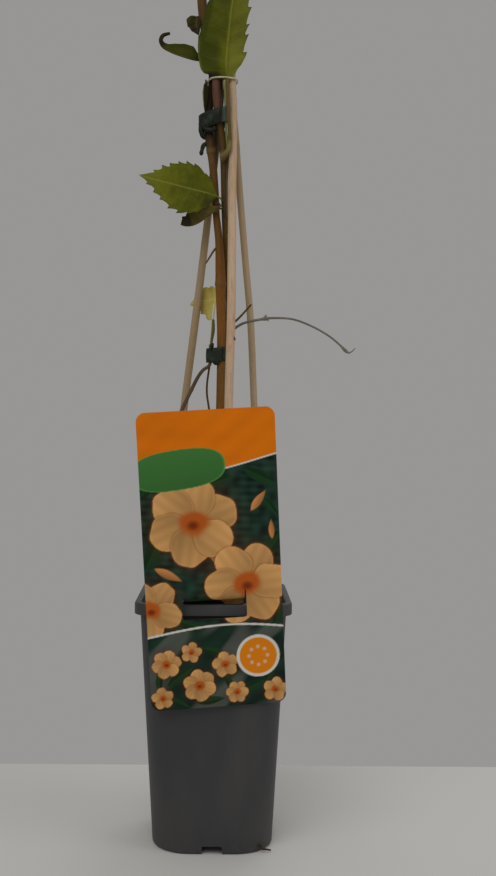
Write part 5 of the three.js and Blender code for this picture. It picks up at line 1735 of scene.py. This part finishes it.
BLADE_START = 0.92  # in stalk lengths, where the blade starts
FOLD_START = 1.5  # in stalk lengths, where the blade is folded in full
VEIN_LIFT = 0.13  # how much further along the margin a side vein ends, as a share
VEIN_WIDTH = 0.55
STALK_RADIUS = 0.65
LEAST_ROWS = 30
ROW_STEP = 1.1  # between rows, along the midrib
# Shares of the half width where the blade has points.
COLUMNS = np.concatenate([[0, 0.025, 0.06], np.linspace(0.12, 0.8, 9), [0.86, 0.91, 0.96, 1.0]])


def tooth_phase(share, tips, start):
    """How far each margin point has risen towards the next tooth's tip, from 0 to 1."""
    edges = np.array([start, *tips, 1.0])
    place = np.clip(np.searchsorted(edges, share, side="left") - 1, 0, len(edges) - 2)
    return np.clip((share - edges[place]) / (edges[place + 1] - edges[place]), 0, 1)


def blade_rows(stations, veins, vein_width):
    """Rows across the blade, closer together at the veins."""
    rows = list(np.linspace(0, 1, stations))
    for vein in veins:
        for step in (-1, -0.5, 0, 0.5, 1):
            rows.append(np.clip(vein + step * vein_width, 0, 1))
    return np.unique(np.round(rows, 5))


def plate_faces(rows, columns):
    """Faces of a thin plate over a grid: upper skin, lower skin and the strip round its edge."""
    size = rows * columns
    upper = sheet_faces(rows, columns)
    lower = [[corner + size for corner in face[::-1]] for face in upper]
    grid = np.arange(size).reshape(rows, columns)
    border = np.concatenate([grid[0, :-1], grid[:-1, -1], grid[-1, :0:-1], grid[:0:-1, 0]]).tolist()
    edge = [[b, a, a + size, b + size] for a, b in zip(border, border[1:] + border[:1])]
    return upper + lower + edge


class Blade:
    """A leaflet's blade as a grid. Its rows run from the midrib along the side veins."""

    def __init__(self, plan, sizes, seed):
        self.plan = plan
        self.sizes = sizes
        self.seed = seed
        self.route = Route(plan["midrib"])
        self.start = plan["stalk"] * BLADE_START
        self.vein_width = VEIN_WIDTH / self.route.length
        self.teeth = plan.get("teeth", ([], []))
        self.veins = [self.vein_rows(tips) for tips in self.teeth]
        stations = max(LEAST_ROWS, int(self.route.length / ROW_STEP))
        self.rows = blade_rows(stations, [*self.veins[0], *self.veins[1]], self.vein_width)

    def share(self, row, out):
        """The share of the length where a row is, at a share of the half width."""
        lift = VEIN_LIFT * np.sin(math.pi * row) ** 0.8
        return np.clip(self.start + (1 - self.start) * (row + lift * out**1.4 * (1 - row * 0.6)), 0, 1)

    def vein_rows(self, tips):
        """The rows that end at the tips of these teeth."""
        rows = np.linspace(0, 1, 400)
        margin = self.share(rows, np.ones(400))
        return [float(np.interp(tip, margin, rows)) for tip in tips]

    def frame(self, share):
        """The midrib's points, its direction and the way that the upper face looks."""
        foot, tip = (unit(np.array(direction, float)) for direction in self.plan["facing"])
        along = self.route.heading(share)
        face = foot * (1 - share)[:, None] + tip * share[:, None]
        face = unit(face - along * np.sum(face * along, axis=1, keepdims=True))
        return self.route.at(share), along, face

    def relief(self, row, out, side):
        """The side veins' ridges, and how the blade swells between them, each up to 1."""
        veins = self.veins[side]
        ridge = np.zeros(len(row))
        for vein in veins:
            ridge = np.maximum(ridge, np.exp(-(((row - vein) / self.vein_width) ** 2) * 2.2))
        swell = np.zeros(len(row))
        if len(veins) > 1:
            step = (veins[-1] - veins[0]) / (len(veins) - 1)
            swell = -np.cos(2 * math.pi * (row - veins[0]) / step)
        return ridge * smooth(out / 0.04) * (1 - 0.5 * out), swell * 4 * out * (1 - out)

    def ragged(self, share, sign):
        """How far the torn margin stands out."""
        line = np.stack([share, np.full(len(share), 3.0 * sign), np.zeros(len(share))], -1)
        torn = self.plan.get("torn", 0) * ripple(line, 0.16, self.seed + 5)
        return torn * smooth((share - self.plan["stalk"]) / 0.2)

    def half(self, side):
        """Grids over the left half, 0, or the right half, 1.

        They hold points, upper normals, thicknesses, vein marks, dry marks and shares.
        """
        plan = self.plan
        sign = 2 * side - 1
        row, out = (grid.ravel() for grid in np.meshgrid(self.rows, COLUMNS, indexing="ij"))
        share = self.share(row, out)
        middle, along, face = self.frame(share)
        across = np.cross(along, face) * sign
        width = between((plan["left"], plan.get("right", plan["left"]))[side], share)
        tips = self.teeth[side]
        phase = tooth_phase(share, tips, self.start) if tips else np.zeros(len(share))
        depth = self.sizes.tooth * plan.get("tooth", (0, 0))[side]
        tooth = depth * (phase**2.2 - 0.15) * smooth((share - self.start) / 0.08) + self.ragged(share, sign)
        at_margin = np.clip(width / 8, 0, 1) / np.maximum(width, 1) * smooth((out - 0.66) / 0.34)
        reach = out * (1 + tooth * at_margin)
        fold = plan["fold"][side]
        angle = np.radians(fold[0] + (fold[1] - fold[0]) * share)
        if plan["stalk"]:
            angle = angle * np.clip(share / (FOLD_START * plan["stalk"]), 0, 1)
        curl = math.radians(plan["curl"]) if "curl" in plan else 1e-4
        bend = angle + curl * reach
        sideways = width * (np.sin(bend) - np.sin(angle)) / curl
        rise = width * (np.cos(angle) - np.cos(bend)) / curl
        forward = 0.6 * depth * np.clip(2 * phase - 1, 0, 1) * smooth((out - 0.8) / 0.2)
        point = middle + across * sideways[:, None] + face * rise[:, None] + along * forward[:, None]
        normal = face * np.cos(bend)[:, None] - across * np.sin(bend)[:, None]
        ridge, swell = self.relief(row, out, side)
        wave = ripple(point, 22, self.seed) * 0.55 * smooth(out / 0.5)
        wave = wave + ripple(point, 8, self.seed + 1) * 0.16 * out
        quilt = self.sizes.quilt / MM * swell
        lift = quilt + wave * np.clip(width / 12, 0, 1) - self.sizes.vein / MM * ridge
        point = point + normal * lift[:, None]
        thick = self.sizes.blade / MM * (1 - 0.45 * smooth((out - 0.6) / 0.4))
        midrib = np.exp(-((out * width / 0.5) ** 2))
        vein = np.clip(0.1 * ridge + 0.6 * plan.get("rib", 1) * midrib, 0, 1)
        dry = 0.35 * smooth((out - 0.93) / 0.07)
        dry = dry + 0.5 * smooth((phase - 0.8) / 0.2) * smooth((out - 0.85) / 0.15)
        shape = (len(self.rows), len(COLUMNS))
        grids = (point, normal, thick, vein, dry, share)
        return [values.reshape(*shape, *values.shape[1:]) for values in grids]

    def whole(self):
        """The same grids over both halves, from the left margin to the right one."""
        return [
            np.concatenate([left[:, :0:-1], right], 1)
            for left, right in zip(self.half(0), self.half(1))
        ]

    def midrib(self):
        """The stalk, and the rib that it becomes under the blade, as a rod's route."""
        stalk = self.plan["stalk"]
        share = np.linspace(0, 1, 26)
        middle, _, face = self.frame(share)
        radius = STALK_RADIUS * np.interp(share, [0, max(stalk, 0.02), stalk + 0.2, 1], [1, 1, 0.62, 0.16])
        under = smooth((share - stalk) / 0.1) * (self.sizes.blade / MM / 2 + 0.3 * radius)
        return np.concatenate([middle - face * under[:, None], radius[:, None]], 1)


def make_leaf(name, plan, sizes, material, seed):
    blade = Blade(plan, sizes, seed)
    points, normals, thick, vein, dry, share = blade.whole()
    side = np.broadcast_to(np.concatenate([-COLUMNS[:0:-1], COLUMNS]), share.shape)
    marks = leaf_marks(name, share, side)
    withered = 0.6 * float(marks["dry"].mean() > 0.4)
    marks["dry"] = np.clip(dry + marks["dry"], 0, 1)
    marks["vein"] = vein
    both = {mark: np.stack([values, values]) for mark, values in marks.items()}
    under = np.stack([np.zeros(share.shape), np.ones(share.shape)])
    offset = normals * (thick / 2)[..., None]
    shell = Shell()
    shell.add(np.stack([points + offset, points - offset]), plate_faces(*share.shape), under=under, **both)
    shade = 0.5 if plan["slot"] == "dark" else 0.1
    rod(shell, blade.midrib(), 10, 1.4, vein=0.25 * plan.get("rib", 1), dry=withered, shade=shade)
    for bit in plan.get("bits", ()):
        rod(shell, bit, 8, 0.5, vein=0.3, dry=0.35, shade=0.2)
    return shell.piece(f"{name}_blade", material, plan["slot"], name, sharp=70)


def top_marks(share, side):
    """The left half lies in painted shade, darkest at its margin and in a lobe at the foot, and the right
    half has painted light.
    """
    left = -side
    low = smooth((0.34 - share) / 0.08)
    upper_shade = 0.55 * smooth(left / 0.1) + 0.4 * smooth((left - 0.74) / 0.08)
    lower_shade = 0.2 * smooth(left / 0.1) + 0.65 * smooth((left - 0.1) / 0.3)
    shade = upper_shade + (lower_shade - upper_shade) * low
    # A paler turned margin near the foot, and painted light on the right half.
    bright = 0.3 * smooth((left - 0.9) / 0.06) * low + (0.2 + 0.1 * low) * smooth(side / 0.3)
    # The dry colour in the foot lobe is painted shade.
    dry = 0.95 * smooth((left - 0.25) / 0.2) * smooth((0.085 - share) / 0.04)
    return {"dry": dry, "shade": shade, "bright": bright}


def curled_marks(share, side):
    return {
        "dry": smooth((share - 0.6) / 0.12) * 0.85 + 0.15 + 0.5 * smooth((0.3 - share) / 0.15),
        "shade": 0.55 + 0.3 * smooth((np.abs(side) - 0.4) / 0.5),
    }


def dark_marks(share, side):
    # Painted shade towards both margins, and paler on the right towards the foot.
    return {
        "dry": 0.4 + 0.4 * smooth((share - 0.5) / 0.3),
        "shade": 0.4 + 0.3 * np.abs(side),
        "bright": 0.35 * smooth((side - 0.5) / 0.3) * smooth((0.5 - share) / 0.2),
    }


def sliver_marks(share, side):
    # Painted shade over the sliver, paler along its right margin.
    return {"shade": smooth((0.7 - side) / 0.2), "bright": 0.9 * smooth((side - 0.6) / 0.2)}


def middle_marks(share, side):
    # Painted shade at the foot, in the dry colour on the left where the folded leaflet meets it, and paler
    # towards the tip.
    return {
        "dry": 0.35 * smooth((-side - 0.3) / 0.3) * smooth((0.36 - share) / 0.1),
        "shade": 0.35 * smooth((0.4 - share) / 0.2),
        "bright": 0.22 * smooth((share - 0.7) / 0.25),
    }


def folded_marks(share, side):
    return {
        "dry": 0.85 * smooth((share - 0.74) / 0.1),
        "shade": 0.2 * smooth((share - 0.35) / 0.3),
    }


# The share runs from the stalk's foot to the tip, and the side from -1, left, to 1, right.
LEAF_MARKS = {
    "leaf_top": top_marks,
    "leaf_curled": curled_marks,
    "leaf_dark": dark_marks,
    "leaf_sliver": sliver_marks,
    "leaf_middle": middle_marks,
    "leaf_folded": folded_marks,
}


def leaf_marks(name, share, side):
    """A leaflet's own marks for withering, painted shade, and painted light with paler parts, each 0 where it
    has none.
    """
    own = LEAF_MARKS[name](share, side) if name in LEAF_MARKS else {}
    nothing = np.zeros(share.shape)
    return {mark: own.get(mark, nothing) for mark in ("dry", "shade", "bright")}


def make_leaves(sizes):
    # Deep, light and dry colours of the dark leaflets; deep also paints their shade.
    dark = (tint(34, 31, 11), tint(118, 108, 56), sizes.dry)
    pale = (tint(160, 138, 70), tint(206, 198, 130), tint(120, 92, 56))
    finishes = {
        "green": leaf_finish("leaf_green", sizes.green, sizes.deep, sizes.light, sizes.dry, 0.7),
        "dark": leaf_finish("leaf_dark_green", sizes.dark, *dark, 2.9),
        "pale": leaf_finish("leaf_yellowed", sizes.pale, *pale, 4.6),
    }
    for order, (name, plan) in enumerate(LEAVES.items()):
        make_leaf(name, plan, sizes, finishes[plan["slot"]], seed=200 + 11 * order)


# ------------------ stage

LENS = 43.3
PICTURE_HEIGHT = 876  # pixels
VANISH_SHIFT = (24 / PICTURE_HEIGHT, -7 / PICTURE_HEIGHT)
CAMERA_X = 0.0072  # metres
CAMERA_ROLL = math.radians(0.4)
FLOOR = {"half": 2600, "near": -2400, "far": 169, "thickness": 30}
# Name, place, aim and width in metres, and share of the key light's power.
LAMPS = (
    ("key_light", (-0.5, -1.3, 1.7), (0, 0, 0.35), 1.6, 1.0),
    ("side_light", (1.5, -0.7, 1.0), (0, 0, 0.3), 1.2, 0.35),
    ("back_light", (0.5, 1.3, 1.7), (0, 0, 0.3), 1.6, 0.5),
)


def stage_finish(sizes):
    finish = Finish("plain_floor")
    cloud = finish.cloud(400, 2, (1, 1, 1), 0.4)
    shaded = tuple(value * 0.94 for value in sizes.floor[:3]) + (1.0,)
    base = finish.blend(finish.spread(cloud, 0.3, 0.7), sizes.floor, shaded)
    return finish.done(base, (cloud, 0.85, 0.95), (cloud, 0.05, 0.1), 0.1)


def make_stage(sizes):
    """A plain floor that ends behind the pot, three soft lamps and even light all round."""
    half = FLOOR["half"]
    near = FLOOR["near"]
    far = FLOOR["far"]
    ring = np.array([[-half, near, 0], [half, near, 0], [half, far, 0], [-half, far, 0]], float)
    floor = loose_thing("studio_floor", *stacked([ring - [0, 0, FLOOR["thickness"]], ring]))
    floor.data.materials.append(stage_finish(sizes))
    for name, place, aim, width, share in LAMPS:
        lamp = bpy.data.lights.new(name, "AREA")
        lamp.shape = "DISK"
        lamp.size = width
        lamp.energy = sizes.key * share
        thing = placed(name, lamp)
        thing.location = place
        thing.rotation_euler = (Vector(aim) - Vector(place)).to_track_quat("-Z", "Y").to_euler()
    world = bpy.data.worlds.new("soft_sky")
    world.use_nodes = True
    sky = world.node_tree.nodes["Background"]
    sky.inputs["Color"].default_value = sizes.sky
    sky.inputs["Strength"].default_value = sizes.fill
    bpy.context.scene.world = world
    make_camera(sizes)
    bpy.context.scene.view_settings.view_transform = "Standard"
    bpy.context.scene.view_settings.look = "None"


def make_camera(sizes):
    lens = bpy.data.cameras.new("studio_camera")
    lens.lens = LENS
    lens.sensor_width = 36
    lens.shift_x, lens.shift_y = VANISH_SHIFT
    lens.clip_start = 0.02
    camera = placed("studio_camera", lens)
    camera.location = (CAMERA_X, -sizes.distance, sizes.eye)
    camera.rotation_euler = (math.pi / 2, -CAMERA_ROLL, 0)
    bpy.context.scene.camera = camera


# ------------------ operators


class VINE_OT_pot(bpy.types.Operator):
    """Make the square nursery pot"""

    bl_idname = "vine.pot"
    bl_label = "Pot"

    def execute(self, context):
        make_pot(context.scene.vine_pot)
        return {"FINISHED"}


class VINE_OT_soil(bpy.types.Operator):
    """Make the potting soil with its crumbs"""

    bl_idname = "vine.soil"
    bl_label = "Soil"

    def execute(self, context):
        make_soil(context.scene.vine_pot, context.scene.vine_soil)
        return {"FINISHED"}


class VINE_OT_canes(bpy.types.Operator):
    """Make the three canes of the tripod"""

    bl_idname = "vine.canes"
    bl_label = "Canes"

    def execute(self, context):
        make_canes(context.scene.vine_canes)
        return {"FINISHED"}


class VINE_OT_ties(bpy.types.Operator):
    """Make the ring at the top and the two ribbons"""

    bl_idname = "vine.ties"
    bl_label = "Ring and Ties"

    def execute(self, context):
        make_ring(context.scene.vine_ties)
        make_ties(context.scene.vine_ties)
        return {"FINISHED"}


class VINE_OT_label(bpy.types.Operator):
    """Make the hanging label with its plain print"""

    bl_idname = "vine.label"
    bl_label = "Label"

    def execute(self, context):
        make_label(context.scene.vine_label)
        return {"FINISHED"}


class VINE_OT_stems(bpy.types.Operator):
    """Make the woody stems and shoots"""

    bl_idname = "vine.stems"
    bl_label = "Stems"

    def execute(self, context):
        make_stems(context.scene.vine_stems)
        return {"FINISHED"}


class VINE_OT_stalks(bpy.types.Operator):
    """Make the two leaf stalks"""

    bl_idname = "vine.stalks"
    bl_label = "Leaf Stalks"

    def execute(self, context):
        make_stalks(context.scene.vine_stems)
        return {"FINISHED"}


class VINE_OT_leaves(bpy.types.Operator):
    """Make the leaflets"""

    bl_idname = "vine.leaves"
    bl_label = "Leaflets"

    def execute(self, context):
        make_leaves(context.scene.vine_leaves)
        return {"FINISHED"}


class VINE_OT_stage(bpy.types.Operator):
    """Make the floor, the light and the camera"""

    bl_idname = "vine.stage"
    bl_label = "Stage"

    def execute(self, context):
        make_stage(context.scene.vine_stage)
        return {"FINISHED"}


OPERATORS = (
    VINE_OT_pot,
    VINE_OT_soil,
    VINE_OT_canes,
    VINE_OT_ties,
    VINE_OT_label,
    VINE_OT_stems,
    VINE_OT_stalks,
    VINE_OT_leaves,
    VINE_OT_stage,
)


class VINE_PT_panel(bpy.types.Panel):
    """Buttons for each piece of the potted vine"""

    bl_label = "Potted Trumpet Vine"
    bl_idname = "VINE_PT_panel"
    bl_space_type = "VIEW_3D"
    bl_region_type = "UI"
    bl_category = "Vine"

    def draw(self, context):
        for operator in OPERATORS:
            self.layout.operator(operator.bl_idname)
        for name, group in SETTINGS.items():
            box = self.layout.box()
            box.label(text=name.replace("_", " "))
            settings = getattr(context.scene, name)
            for key in group.__annotations__:
                box.prop(settings, key)


def register():
    for group in SETTINGS.values():
        bpy.utils.register_class(group)
    for operator in OPERATORS:
        bpy.utils.register_class(operator)
    bpy.utils.register_class(VINE_PT_panel)
    for name, group in SETTINGS.items():
        setattr(bpy.types.Scene, name, bpy.props.PointerProperty(type=group))


def unregister():
    for name in SETTINGS:
        delattr(bpy.types.Scene, name)
    bpy.utils.unregister_class(VINE_PT_panel)
    for operator in reversed(OPERATORS):
        bpy.utils.unregister_class(operator)
    for group in reversed(list(SETTINGS.values())):
        bpy.utils.unregister_class(group)


def main():
    register()
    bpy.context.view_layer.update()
    bpy.ops.vine.pot()
    bpy.ops.vine.soil()
    bpy.ops.vine.canes()
    bpy.ops.vine.ties()
    bpy.ops.vine.label()
    bpy.ops.vine.stems()
    bpy.ops.vine.stalks()
    bpy.ops.vine.leaves()
    bpy.ops.vine.stage()
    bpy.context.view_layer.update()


if __name__ == "__main__":
    main()
